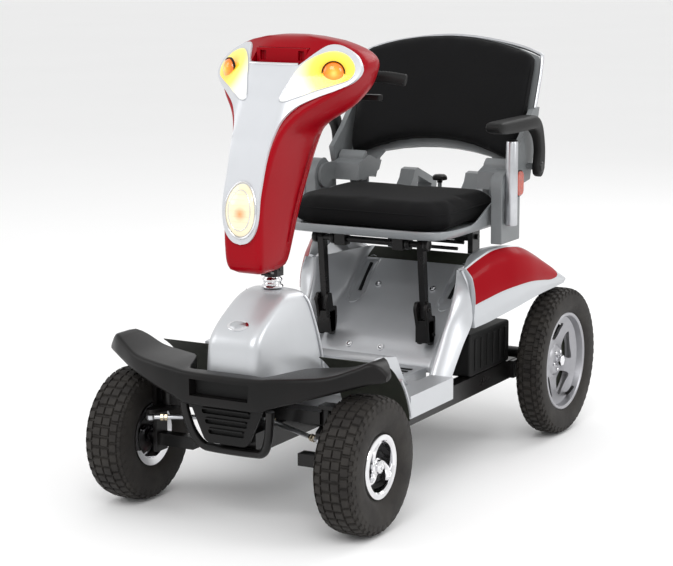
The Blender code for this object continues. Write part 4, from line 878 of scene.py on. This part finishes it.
def guard():
    low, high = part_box("louvre_plate")
    top, bottom = high.z, low.z
    outline = rounded([(-0.08, top, 0), (-0.046, bottom, 0), (0.046, bottom, 0), (0.08, top, 0)],
        [0.004, 0.012, 0.012, 0.004], 5)
    obj = loft("louvre_plate_shown", [[(p.x, y, p.y) for p in outline] for y in (-0.076, -0.07)])
    slots = []
    for w, z in ((0.052, 0.212), (0.045, 0.193), (0.038, 0.174)):
        slot = rounded([(-w, z - 0.004, 0), (w, z - 0.004, 0), (w + 0.002, z + 0.004, 0),
            (-w - 0.002, z + 0.004, 0)], 0.0039, 4)
        slots.append(loft("slot", [[(p.x, y, p.y) for p in slot] for y in (-0.1, 0.0)]))
    boolean(obj, slots)
    piece(obj, "chassis", BLACK, ("louvre_plate",), soft=0.001)
    back = loft("louvre_back", [[(x, y, z) for x, z in ((-0.074, top), (-0.046, bottom + 0.006),
        (0.046, bottom + 0.006), (0.074, top))] for y in (-0.069, -0.066)])
    piece(back, "chassis", SOFT_BLACK)
    for k, z in enumerate((0.217, 0.198, 0.179)):
        w = 0.053 - 0.007 * k
        hood = loft(f"louvre_hood_{k}", [[(x, y, h) for x, h in ((-w, z), (w, z),
            (w - 0.002, z + 0.0035), (-w + 0.002, z + 0.0035))] for y in (-0.0765, -0.08)])
        piece(hood, "chassis", BLACK, soft=0.001)
    half = [(0.094, -0.074, 0.227), (0.092, -0.071, 0.205), (0.083, -0.063, 0.168),
        (0.067, -0.053, 0.1415), (0.042, -0.049, 0.1355)]
    path = [(-x, y, z) for x, y, z in half] + list(reversed(half))
    piece(tube("guard_tube_shown", curved(path, 8), 0.0085, 20), "chassis", STEEL, ("guard_tube",))


def nose_cover():
    # z, front y, rear y, front half width, rear half width
    levels = ((0.262, -0.06, 0.135, 0.057, 0.101), (0.3, -0.0595, 0.133, 0.0555, 0.097),
        (0.335, -0.058, 0.131, 0.053, 0.091), (0.352, -0.05, 0.13, 0.0515, 0.087),
        (0.372, -0.028, 0.128, 0.0505, 0.082), (0.392, 0.004, 0.1265, 0.0495, 0.076),
        (0.406, 0.03, 0.124, 0.0485, 0.07), (0.416, 0.052, 0.12, 0.045, 0.061),
        (0.4205, 0.066, 0.1155, 0.037, 0.05))
    rings = []
    for i in range(33):
        t = i / 32
        z = levels[0][0] + (levels[-1][0] - levels[0][0]) * (t ** 0.8)
        y0, y1, w0, w1 = between(levels, z)
        outline = [(w0, y0, z), (w1, y1, z), (-w1, y1, z), (-w0, y0, z)]
        rings.append(rounded(outline, [0.02, 0.022, 0.022, 0.02], 7))
    spots = len(rings[0])
    for r in (0.024, 0.0165):
        first = atan2(rings[0][0].y - COLUMN_Y, rings[0][0].x)
        rings.append([Vector((r * cos(first + 2 * pi * k / spots),
            COLUMN_Y + r * sin(first + 2 * pi * k / spots), 0.4215)) for k in range(spots)])
    inner = []
    for ring in rings:
        inner.append([Vector((p.x * 0.95, 0.045 + (p.y - 0.045) * 0.965, p.z - 0.003)) for p in ring])
    inner[-1] = [p - Vector((0, 0, 0.003)) for p in rings[-1]]
    inner[0] = [Vector((p.x, p.y, rings[0][0].z)) for p in inner[0]]
    obj = loft("nose_cover_shown", rings + inner[::-1], closed=True)
    piece(obj, "chassis", SILVER, ("nose_cover",), sharp=45)
    lip = [(p.x * 1.008, 0.03 + (p.y - 0.03) * 1.008, 0.2645) for p in rings[0]]
    piece(tube("nose_lip", lip, 0.0024, 8, closed=True), "chassis", SILVER)
    for label, side in SIDES:
        path = []
        for i in range(15):
            z = 0.264 + 0.148 * i / 14
            y0, y1, w0, w1 = between(levels, z)
            path.append((side * (w1 - 0.0015), y1 - 0.016, z))
        piece(tube(f"nose_flange_{label}", path, 0.0022, 8), "chassis", SILVER)
    slope = Vector((0, -0.53, 0.85)).normalized()
    centre = Vector((0.0, -0.03, 0.3712))
    for name, size, lift, mat in (("badge_rim", 0.0225, 0.0014, CHROME),
            ("badge_field", 0.0195, 0.0024, (ALUMINIUM, "silver_paint"))):
        dome = [(0, lift), (size * 0.8, lift * 0.9), (size, 0.0), (size, -0.004), (0, -0.004)]
        disc = lathe(name, dome, (0, 0, 0), "Z", steps=48)
        disc.data.transform(Matrix.Diagonal((1.0, 0.62, 1.0, 1.0)))
        piece(aimed(disc, centre, slope), "chassis", mat)


def footplate():
    refined("footplate", "chassis", SILVER, 0.0016, 30)
    for label, side in SIDES:
        rows = []
        for i in range(15):
            a = radians(12 + 50 * i / 14)
            y, z = 0.1912 * cos(a), FRONT_AXLE_Z + 0.1912 * sin(a)
            rows.append([(side * x, y, z) for x in (0.105, 0.15, 0.2, 0.2485)])
        sheet = grid(f"arch_liner_{label}", rows, 0.0015, 0.0)
        piece(sheet, "chassis", LINER_AND_SHADE)
        edge = [(side * 0.2495, 0.1955 * cos(radians(a)), FRONT_AXLE_Z + 0.1955 * sin(radians(a)))
            for a in range(14, 42, 3)]
        piece(tube(f"arch_edge_{label}", edge, 0.0032, 8), "chassis", SILVER)
        ribs = []
        for k in range(7):
            y = 0.322 + 0.021 * k
            rib = block(f"floor_rib_{label}_{k}", (min(side * 0.012, side * 0.118), y, 0.2028),
                (max(side * 0.012, side * 0.118), y + 0.008, 0.2046))
            ribs.append(rib)
        piece(join(f"floor_ribs_{label}", ribs), "chassis", SOFT_BLACK, soft=0.0008)


# ---------------------------------------------------------------- body
# Height, middle y, ridge y, side x and side y of the body cover.
COVER = ((0.19, 0.4985, 0.431, 0.2, 0.468), (0.2035, 0.5, 0.44, 0.2005, 0.478),
    (0.225, 0.518, 0.455, 0.2015, 0.495), (0.255, 0.545, 0.477, 0.203, 0.52),
    (0.29, 0.592, 0.502, 0.2055, 0.5515), (0.318, 0.634, 0.523, 0.205, 0.554),
    (0.345, 0.664, 0.538, 0.202, 0.551), (0.37, 0.698, 0.548, 0.197, 0.547),
    (0.388, 0.726, 0.551, 0.19, 0.544), (0.4, 0.75, 0.552, 0.185, 0.542),)


def pocket(x, z):
    """Depth of the rounded pockets that hold the seat legs when folded."""
    x = abs(x)
    t = (z - 0.3) / 0.082
    if not 0 <= t <= 1:
        return 0.0
    middle, half = 0.1085 + 0.004 * t, 0.019
    inside = 1 - smoothstep(half - 0.005, half, abs(x - middle))
    return 0.011 * inside * smoothstep(0.0, 0.1, t) * (1 - smoothstep(0.9, 1.0, t))


def cover_y(x, z):
    middle, ridge, side_x, side_y = between(COVER, z)
    x = abs(x)
    deep = middle - ridge
    y = middle - deep * smoothstep(0.132, 0.17, x)
    if x > 0.168:
        t = min(1.0, (x - 0.168) / (side_x - 0.168))
        y = ridge + (side_y - ridge) * t ** 1.8
    return y + pocket(x, z)


def body_cover():
    rows = []
    for i in range(61):
        z = COVER[0][0] + (COVER[-1][0] - COVER[0][0]) * i / 60
        side_x = between(COVER, z)[2]
        xs = [0.004 * k for k in range(32)] + [0.126 + 0.0022 * k for k in range(21)]
        xs += [0.171 + (side_x - 0.171) * k / 8 for k in range(1, 9)]
        row = [(x, cover_y(x, z), z) for x in xs]
        rows.append([(-x, y, z) for x, y, z in row[:0:-1]] + row)
    obj = grid("body_cover_shown", rows, 0.004, -1.0)
    piece(obj, "chassis", SILVER, ("body_cover",), sharp=50)
    for label, side in SIDES:
        low = Vector((side * 0.108, cover_y(0.108, 0.318) - 0.0006, 0.318))
        high = Vector((side * 0.112, cover_y(0.112, 0.368) - 0.0006, 0.368))
        slit = tube(f"cover_slit_{label}", [low.lerp(high, k / 6) for k in range(7)], 0.004, 10)
        piece(slit, "chassis", SOFT_BLACK)
    # A thin dark olive sheet on the cover's top under the seat pan: painted shade where the pan shadows
    # the cover.
    rows = []
    for i in range(9):
        z = 0.381 + 0.0185 * i / 8
        rows.append([(x, cover_y(x, z) - 0.0012, z) for x in [0.006 * k - 0.126 for k in range(43)]])
    piece(grid("under_seat_painted_shade", rows, 0.001, -1.0), "chassis", LINER_AND_SHADE)
    for k, (y, z) in enumerate(((0.725, 0.413), (0.756, 0.422))):
        rod = tube(f"under_seat_rod_{k}", [(-0.088, y, z), (0.088, y, z)], 0.004, 12)
        piece(rod, "chassis", STEEL)
    for label, side in SIDES:
        outline = []
        for k in range(33):
            a = 2 * pi * k / 32
            t = 0.5 + 0.52 * sin(a)
            x = 0.1085 + 0.004 * t + 0.0185 * max(-1.0, min(1.0, 1.35 * cos(a)))
            z = 0.3 + 0.082 * t
            outline.append((side * x, cover_y(x, z) + 0.0002, z))
        piece(tube(f"pocket_rim_{label}", outline[:-1], 0.0011, 8, closed=True), "chassis", SILVER)
    spots = ((-0.066, 0.334), (-0.066, 0.226), (0.01, 0.226), (0.066, 0.334))
    for k, (x, z) in enumerate(spots):
        slope = (cover_y(x, z + 0.004) - cover_y(x, z - 0.004)) / 0.008
        normal = Vector((0, -1, slope)).normalized()
        spot = Vector((x, cover_y(x, z), z))
        ring = lathe(f"grommet_{k}", [(0.0048, 0.0), (0.008, 0.0), (0.008, 0.0012), (0.0068, 0.003),
            (0.0052, 0.003), (0.0048, 0.0014)], (0, 0, 0), "Z", steps=32)
        piece(aimed(ring, spot, normal), "chassis", CHROME)
        screw(f"cover_screw_{k}", spot + normal * 0.0005, normal, 0.0042, "chassis")


# y, lower x, lower z, shoulder x and shoulder z of the rear mudguard.
GUARD = ((0.559, 0.209, 0.28, 0.193, 0.404), (0.59, 0.224, 0.288, 0.205, 0.42),
    (0.63, 0.24, 0.299, 0.218, 0.434), (0.67, 0.255, 0.31, 0.234, 0.438),
    (0.72, 0.267, 0.321, 0.242, 0.43), (0.78, 0.27, 0.326, 0.246, 0.407),
    (0.83, 0.27, 0.327, 0.25, 0.382), (0.87, 0.269, 0.328, 0.255, 0.358),
    (0.895, 0.267, 0.328, 0.258, 0.343),)


def guard_point(y, t, lift=0.0):
    """A point of the mudguard's outside; t runs from the inner flange (-0.4) to the edge (1)."""
    low_x, low_z, top_x, top_z = between(GUARD, y)
    if t < 0:
        inner = max(0.168, 0.18 - 0.27 * (y - GUARD[0][0]))
        k = -t / 0.4
        return Vector((top_x - 0.008 + (inner - top_x + 0.008) * k, y, top_z + lift - 0.01 * k * k))
    bow = 0.0075 * sin(pi * min(1.0, t * 1.15))
    shoulder = 0.008 * (1 - smoothstep(0.0, 0.22, t))
    return Vector((top_x + (low_x - top_x) * t + bow - shoulder + lift, y,
        top_z + (low_z - top_z) * t ** 1.12))


def mudguards():
    for label, side in SIDES:
        ts = [-0.4 + 0.05 * k for k in range(8)] + [k / 20 for k in range(21)]
        rows = []
        for i in range(43):
            y = GUARD[0][0] + (GUARD[-1][0] - GUARD[0][0]) * i / 42
            rows.append([Vector((side * p.x, p.y, p.z)) for p in (guard_point(y, t) for t in ts)])
        lip = [Vector((p.x - side * 0.016 * min(1.0, (k + 1) / 10), p.y - 0.001, p.z - 0.001))
            for k, p in enumerate(rows[0])]
        rows.insert(0, lip)
        obj = grid(f"mudguard_{label}_shown", rows, 0.004, -side)
        piece(obj, "chassis", SILVER, (f"mudguard_{label}",), sharp=50)
        skin_rows = []
        start, end = GUARD[0][0] + 0.001, 0.85
        for i in range(41):
            k = i / 40
            y = start + (end - start) * k
            close = sqrt(max(0.0, 1 - ((y - 0.795) / 0.0552) ** 2)) if y > 0.795 else 1.0
            high = 0.03 + 0.3 * (1 - close)
            low = 0.64 + 0.1 * k - 0.3 * (1 - close)
            skin_rows.append([Vector((side * p.x, p.y, p.z))
                for p in (guard_point(y, high + (low - high) * j / 14, 0.0012) for j in range(15))])
        panel = grid(f"side_panel_{label}_shown", skin_rows, 0.0022, -side)
        piece(panel, "chassis", RED, (f"side_panel_{label}",), sharp=50, soft=0.0006)


def body_details():
    for name, mat, soft in (("main_frame", STEEL, 0.0025), ("head_tube", STEEL, 0.0),
            ("front_axle_beam", STEEL, 0.002), ("battery_case", SOFT_BLACK, 0.006),
            ("controller_box", SOFT_BLACK, 0.003), ("drive_unit", STEEL, 0.0012),
            ("lower_head_bearing", CHROME, 0.0), ("upper_head_bearing", CHROME, 0.0)):
        refined(name, "chassis", mat, soft)
    refined("freewheel_lever", "freewheel", REFLECTOR, 0.0008)
    low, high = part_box("battery_case")
    for label, side in SIDES:
        ribs = []
        for k in range(6):
            y = low.y - AXLE_Y + 0.02 + 0.03 * k
            x = side * high.x
            ribs.append(block("rib", (min(x, x + side * 0.0022), y, low.z + 0.012),
                (max(x, x + side * 0.0022), y + 0.01, high.z - 0.012)))
        piece(join(f"battery_ribs_{label}", ribs), "chassis", SOFT_BLACK, soft=0.0008)
    fins = []
    for k in range(9):
        x = -0.03 + 0.0075 * k
        fins.append(lathe("fin", [(0.05, x - 0.0014), (0.0545, x - 0.001), (0.0545, x + 0.001),
            (0.05, x + 0.0014)], (0, *REAR_AXLE), "X", steps=48))
    piece(join("motor_fins", fins), "chassis", STEEL)


# ---------------------------------------------------------------- seat
def pan_lip(y):
    return 0.494 + 0.041 * smoothstep(0.545, 0.69, y)


def seat_pan():
    low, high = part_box("seat_pan")
    half, front, rear = high.x, low.y - AXLE_Y, high.y - AXLE_Y
    corners = [(half - 0.03, front, 0), (half, front + 0.04, 0), (half, rear, 0), (-half, rear, 0),
        (-half, front + 0.04, 0), (-half + 0.03, front, 0)]
    outline = rounded(corners, [0.05, 0.06, 0.018, 0.018, 0.06, 0.05], 8)
    dense = []
    for a, b in zip(outline, outline[1:] + outline[:1]):
        parts = max(1, int((b - a).length / 0.012))
        dense += [a.lerp(b, k / parts) for k in range(parts)]
    middle = Vector((0, 0.5 * (front + rear), 0))

    def ring(scale, height, lip=False):
        made = []
        for p in dense:
            q = middle + (p - middle) * scale
            z = pan_lip(p.y) + height if lip else height
            if lip and abs(p.x) < half - 0.02 and p.y > 0.6:
                z = 0.494 + height
            made.append(Vector((q.x, q.y, z)))
        return made
    rings = [ring(0.6, 0.4762), ring(0.955, 0.4762), ring(0.985, 0.4785), ring(0.998, 0.485),
        ring(1.004, -0.006, True), ring(1.008, -0.001, True), ring(1.003, 0.0006, True),
        ring(0.984, -0.001, True), ring(0.978, -0.006, True), ring(0.972, 0.4895), ring(0.95, 0.4885),
        ring(0.6, 0.4885)]
    obj = loft("seat_pan_shown", rings)
    piece(obj, "seat", PAN_GREY, ("seat_pan",), sharp=50)
    for label, side in SIDES:
        screw(f"pan_bolt_{label}", Vector((side * (half + 0.001), 0.712, 0.516)), (side, 0, 0), 0.0085,
            "seat", STEEL)


def cushion(name, node_name, body, cap, shrink):
    """A stuffed pad, blown up from its CAD solid by a cloth simulation."""
    data = solid_mesh(node_name)
    low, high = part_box(node_name)
    middle = (low + high) / 2
    size = high - low
    scale = Matrix.Diagonal([1 - 2 * shrink / s for s in size] + [1.0])
    data.transform(Matrix.Translation(middle) @ scale @ Matrix.Translation(-middle))
    obj = linked(name, data)
    voxels = obj.modifiers.new("voxels", "REMESH")
    voxels.mode = "VOXEL"
    voxels.voxel_size = 0.006
    settle(obj)
    rest = [v.co.copy() for v in obj.data.vertices]
    cloth = obj.modifiers.new("cloth", "CLOTH")
    cloth.settings.use_pressure = True
    cloth.settings.uniform_pressure_force = 4.0
    cloth.settings.effector_weights.gravity = 0.0
    cloth.settings.mass = 0.25
    cloth.settings.tension_stiffness = 12
    cloth.settings.compression_stiffness = 12
    scene = bpy.context.scene
    scene.frame_start, scene.frame_end = 1, 20
    for step in range(1, 21):
        scene.frame_set(step)
    settle(obj)
    scene.frame_set(1)
    for vertex, start in zip(obj.data.vertices, rest):
        move = vertex.co - start
        if move.length > cap:
            vertex.co = start + move * (cap / move.length)
    obj.data.update()
    smooth = obj.modifiers.new("smooth", "SMOOTH")
    smooth.factor = 0.5
    smooth.iterations = 4
    settle(obj)
    finer = obj.modifiers.new("finer", "SUBSURF")
    finer.levels = finer.render_levels = 1
    settle(obj)
    piece(obj, body, CLOTH, (node_name,), sharp=180, shift=False)
    return obj


def seam(name, obj, height, body):
    """Piping round a cushion, where its surface crosses a level of `height`(point)."""
    crossing = []
    for edge in obj.data.edges:
        a, b = (obj.data.vertices[i].co for i in edge.vertices)
        ha, hb = height(a), height(b)
        if ha * hb < 0:
            crossing.append(a.lerp(b, ha / (ha - hb)))
    middle = sum(crossing, Vector()) / len(crossing)
    axis = Vector([height(middle + e) - height(middle)
        for e in (Vector((0.01, 0, 0)), Vector((0, 0.01, 0)), Vector((0, 0, 0.01)))]).normalized()
    across = Vector((1, 0, 0))
    up = axis.cross(across).normalized()
    bins = 120
    rim = [None] * bins
    for p in crossing:
        d = p - middle
        k = int((atan2(d.dot(up), d.dot(across)) + pi) / (2 * pi) * bins) % bins
        if rim[k] is None or d.length > (rim[k] - middle).length:
            rim[k] = p
    path = [p for p in rim if p is not None]
    for _ in range(3):
        count = len(path)
        path = [(path[i - 1] + path[i] * 2 + path[(i + 1) % count]) / 4 for i in range(count)]
    piping = tube(name, path, 0.0016, 10, closed=True)
    return piece(piping, body, CLOTH, sharp=180, shift=False)


def cushions():
    seat = cushion("seat_cushion_shown", "seat_cushion", "seat", 0.008, 0.003)
    low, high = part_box("seat_cushion")
    level = low.z + 0.62 * (high.z - low.z)
    seam("seat_piping", seat, lambda p: p.z - level, "seat")
    back = cushion("backrest_cushion_shown", "backrest_cushion", "backrest", 0.0045, 0.0005)
    foot = PAD_FOOT + Vector((0, AXLE_Y, 0))
    seam("backrest_piping", back, lambda p: (p - foot).dot(BACK_OUT) - 0.016, "backrest")


def seat_hardware():
    refined("seat_frame", "seat", STEEL, 0.0014)
    refined("rear_hoops", "seat", GREY, 0.0035)
    for label, side in SIDES:
        refined(f"seat_bracket_{label}", "seat", GREY, 0.003)
        low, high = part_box(f"arm_post_{label}")
        mid = (low + high) / 2 - Vector((0, AXLE_Y, 0))
        r = (high.x - low.x) / 2
        profile = [(0, low.z), (r * 0.9, low.z), (r, low.z + 0.002), (r, high.z - 0.004),
            (r * 0.86, high.z), (0, high.z)]
        post = lathe(f"arm_post_{label}_shown", profile, (mid.x, mid.y, 0), "Z", steps=40)
        piece(post, "seat", ALUMINIUM, (f"arm_post_{label}",))
        cap = [(0, high.z + 0.0022), (r * 0.7, high.z + 0.002), (r * 0.95, high.z),
            (r * 0.95, high.z - 0.001), (0, high.z - 0.001)]
        piece(lathe(f"arm_post_cap_{label}", cap, (mid.x, mid.y, 0), "Z", steps=40), "seat", SOFT_BLACK)
        face = side * 0.2345
        disc = [(0, 0.0026), (0.02, 0.0026), (0.0225, 0.0016), (0.03, 0.0016), (0.033, 0.0),
            (0.033, -0.001), (0, -0.001)]
        piece(lathe(f"hinge_disc_{label}", disc, (face, *BACK_HINGE), "X", side, 64), "seat", GREY)
        screw(f"hinge_bolt_{label}", (face + side * 0.0026, *BACK_HINGE), (side, 0, 0), 0.008, "seat",
            STEEL)
        outline = rounded([(0.695, 0.54, 0), (0.727, 0.54, 0), (0.727, 0.592, 0), (0.695, 0.592, 0)],
            0.014, 6)
        x0, x1 = sorted((face, face + side * 0.007))
        lens = plate(f"reflector_{label}", [(p.x, p.y) for p in outline], x0, x1)
        piece(lens, "seat", REFLECTOR, soft=0.0025)
        path = [(face + side * 0.0022, p.x, p.y) for p in outline]
        piece(tube(f"reflector_rim_{label}", path, 0.0022, 8, closed=True), "seat", SOFT_BLACK)
    low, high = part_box("clamp_knob")
    y = (low.y + high.y) / 2 - AXLE_Y
    rings, steps = [], 60
    for r, z in ((0.006, low.z), (0.006, low.z + 0.004), (0.016, low.z + 0.0066),
            (0.0168, low.z + 0.01), (0.0155, high.z - 0.003), (0.011, high.z)):
        wave = 0.06 if r > 0.01 else 0.0
        ring = []
        for k in range(steps):
            a = 2 * pi * k / steps
            reach = r * (1 + wave * cos(6 * a))
            ring.append((reach * cos(a), y + reach * sin(a), z))
        rings.append(ring)
    piece(loft("clamp_knob_shown", rings), "knob", BLACK, ("clamp_knob",))
    refined("leg_frame", "legs", STEEL, 0.0022)
    for label, side in SIDES:
        for k, x in enumerate((0.088, 0.13)):
            ring = [(0.0072, -0.005), (0.0118, -0.005), (0.0125, -0.004), (0.0125, 0.004),
                (0.0118, 0.005), (0.0072, 0.005)]
            piece(lathe(f"shaft_collar_{label}_{k}", ring, (side * x, *LEG_HINGE), "X", steps=32),
                "legs", STEEL)
        leg_bracket(label, side)


def leg_bracket(label, side):
    """A forked saddle: two swept cheeks with a boss and a cross bolt."""
    x = side * 0.117
    parts = []
    for a in (-0.0155, 0.0085):
        outline = rounded([(0.486, 0.322, 0), (0.497, 0.288, 0), (0.506, 0.244, 0), (0.523, 0.244, 0),
            (0.531, 0.27, 0), (0.53, 0.306, 0), (0.516, 0.3, 0), (0.508, 0.336, 0), (0.493, 0.336, 0)],
            [0.006, 0.01, 0.006, 0.006, 0.006, 0.006, 0.006, 0.004, 0.004], 3)
        parts.append(plate("cheek", [(p.x, p.y) for p in outline], x + a, x + a + 0.007))
    parts.append(block("saddle", (x - 0.0155, 0.498, 0.25), (x + 0.0155, 0.5235, 0.297)))
    piece(join(f"leg_bracket_{label}_shown", parts), "chassis", STEEL, (f"leg_bracket_{label}",),
        soft=0.0014)
    for k, (y, z) in enumerate(((0.4955, 0.322), (0.518, 0.266))):
        screw(f"bracket_bolt_{label}_{k}", (x + side * 0.0156, y, z), (side, 0, 0), 0.0055, "chassis",
            STEEL)


def back_and_arms():
    refined("backrest_frame", "backrest", GREY, 0.0022)
    foot, up, out = PAD_FOOT, BACK_UP, BACK_OUT
    rim = []
    for x, s in ((-0.2135, 0.0), (-0.214, 0.12), (-0.2135, 0.232), (-0.2, 0.2545), (-0.12, 0.276),
            (0.0, 0.2885), (0.12, 0.276), (0.2, 0.2545), (0.2135, 0.232), (0.214, 0.12), (0.2135, 0.0)):
        rim.append(foot + Vector((x, 0, 0)) + up * s + out * 0.0445)
    piece(tube("backrest_edge", curved(rim, 6), 0.0042, 10), "backrest", ALUMINIUM)
    ribs = []
    for k in range(5):
        s = 0.075 + 0.036 * k
        w = 0.165
        bar = [foot + Vector((x, 0, 0)) + up * (s + h) + out * d
            for x, h, d in ((-w, -0.003, 0.0545), (w, -0.003, 0.0545), (w, 0.003, 0.0545),
            (-w, 0.003, 0.0545))]
        ribs.append(loft("rib", [bar, [p + out * 0.0045 for p in bar]]))
    piece(join("backrest_ribs", ribs), "backrest", GREY, soft=0.0012)
    for label, side in SIDES:
        x0, x1 = sorted((side * 0.145, side * 0.2078))
        web = plate(f"leg_web_{label}", [(0.748, 0.5465), (0.748, 0.611), (0.74, 0.612), (0.728, 0.601),
            (0.722, 0.5465)], x0, x1)
        piece(web, "backrest", GREY, soft=0.003)
        for k, z in enumerate((0.564, 0.59)):
            y = 0.7215 + 0.115 * (z - 0.5465)
            rib = block(f"leg_rib_{label}_{k}", (x0, y - 0.0035, z - 0.002), (x1, y + 0.004, z + 0.002))
            piece(rib, "backrest", GREY, soft=0.001)
        arm_rest(label, side)
        x = side * 0.2545
        cap = [(0, 0.0022), (0.009, 0.0022), (0.0115, 0.0), (0.0115, -0.001), (0, -0.001)]
        piece(lathe(f"arm_hinge_cap_{label}", cap, (x, *ARM_HINGE), "X", side, 40), f"arm_{label}",
            STEEL)


def arm_rest(label, side):
    """A padded arm that bends down behind to its hinge on the backrest."""
    # y, z, half width, half height
    stations = ((0.556, 0.701, 0.013, 0.004), (0.562, 0.6975, 0.018, 0.0085),
        (0.58, 0.695, 0.02, 0.0125), (0.63, 0.6935, 0.02, 0.0145), (0.7, 0.6935, 0.02, 0.0145),
        (0.745, 0.692, 0.018, 0.015), (0.772, 0.68, 0.013, 0.016), (0.788, 0.658, 0.01, 0.015),
        (0.795, 0.63, 0.009, 0.0155), (0.793, 0.605, 0.0088, 0.0175), (0.79, 0.59, 0.0086, 0.018),
        (0.788, 0.577, 0.008, 0.012), (0.787, 0.573, 0.006, 0.006))
    guides = curved([(y, z, 0) for y, z, w, h in stations], 4)
    sizes = curved([(w, h, 0) for y, z, w, h in stations], 4)
    rings = []
    for i, spot in enumerate(guides):
        way = (guides[min(i + 1, len(guides) - 1)] - guides[max(i - 1, 0)]).normalized()
        w, h = sizes[i].x, sizes[i].y
        soft = min(w, h) * 0.75
        corners = rounded([(-w, -h, 0), (w, -h, 0), (w, h, 0), (-w, h, 0)], soft, 4)
        rings.append([(side * 0.2455 + c.x, spot.x - way.y * c.y, spot.y + way.x * c.y)
            for c in corners])
    piece(loft(f"arm_rest_{label}_shown", rings), f"arm_{label}", SOFT_BLACK, (f"arm_rest_{label}",),
        sharp=60)


# ---------------------------------------------------------------- studio
def studio():
    scene = bpy.context.scene
    camera_data = bpy.data.cameras.new("camera")
    camera_data.sensor_width = 36.0
    camera_data.lens = 106.89
    camera_data.clip_end = 60.0
    camera = linked("camera", camera_data)
    azimuth, elevation, roll = radians(29.165), radians(10.359), radians(0.1476)
    look = Vector((-sin(azimuth) * cos(elevation), cos(azimuth) * cos(elevation), -sin(elevation)))
    camera.rotation_mode = "QUATERNION"
    camera.rotation_quaternion = look.to_track_quat("-Z", "Y")
    camera.rotation_quaternion.rotate(Matrix.Rotation(roll, 3, look).to_quaternion())
    camera.location = (1.93379, -3.11891 + AXLE_Y, 1.11637)
    scene.camera = camera

    reach = 45
    floor = mesh("floor", [(-reach, -reach, -0.001), (reach, -reach, -0.001), (reach, reach, -0.001),
        (-reach, reach, -0.001)], [(0, 1, 2, 3)])
    floor.data.materials.append(finish("floor_paint", (0.93, 0.93, 0.93), 0.7,
        mottle=(0.8, (0.92, 0.92, 0.92), 0.03)))
    world = bpy.data.worlds.new("studio")
    world.use_nodes = True
    world.node_tree.nodes["Background"].inputs["Color"].default_value = (1.0, 1.0, 1.0, 1)
    world.node_tree.nodes["Background"].inputs["Strength"].default_value = 0.9
    scene.world = world
    scene.view_settings.view_transform = "Standard"
    lights = (("key", (1.2, -3.2, 3.4), 2.2, 62), ("fill", (-3.4, -2.2, 2.4), 2.2, 26),
        ("rim", (0.8, 3.0, 2.8), 2.2, 34), ("side", (3.6, 0.4, 2.2), 1.4, 26))
    for name, place, size, power in lights:
        data = bpy.data.lights.new(name, "AREA")
        data.size = size
        data.energy = power
        lamp = linked(name, data)
        lamp.location = place
        lamp.rotation_mode = "QUATERNION"
        lamp.rotation_quaternion = (Vector((0, 0, 0.4)) - Vector(place)).to_track_quat("-Z", "Y")


for build in (wheels, casing, tiller_front, headlight, controls, steering, bumper, guard, nose_cover,
        footplate, body_cover, mudguards, body_details, seat_pan, cushions, seat_hardware,
        back_and_arms, studio):
    build()
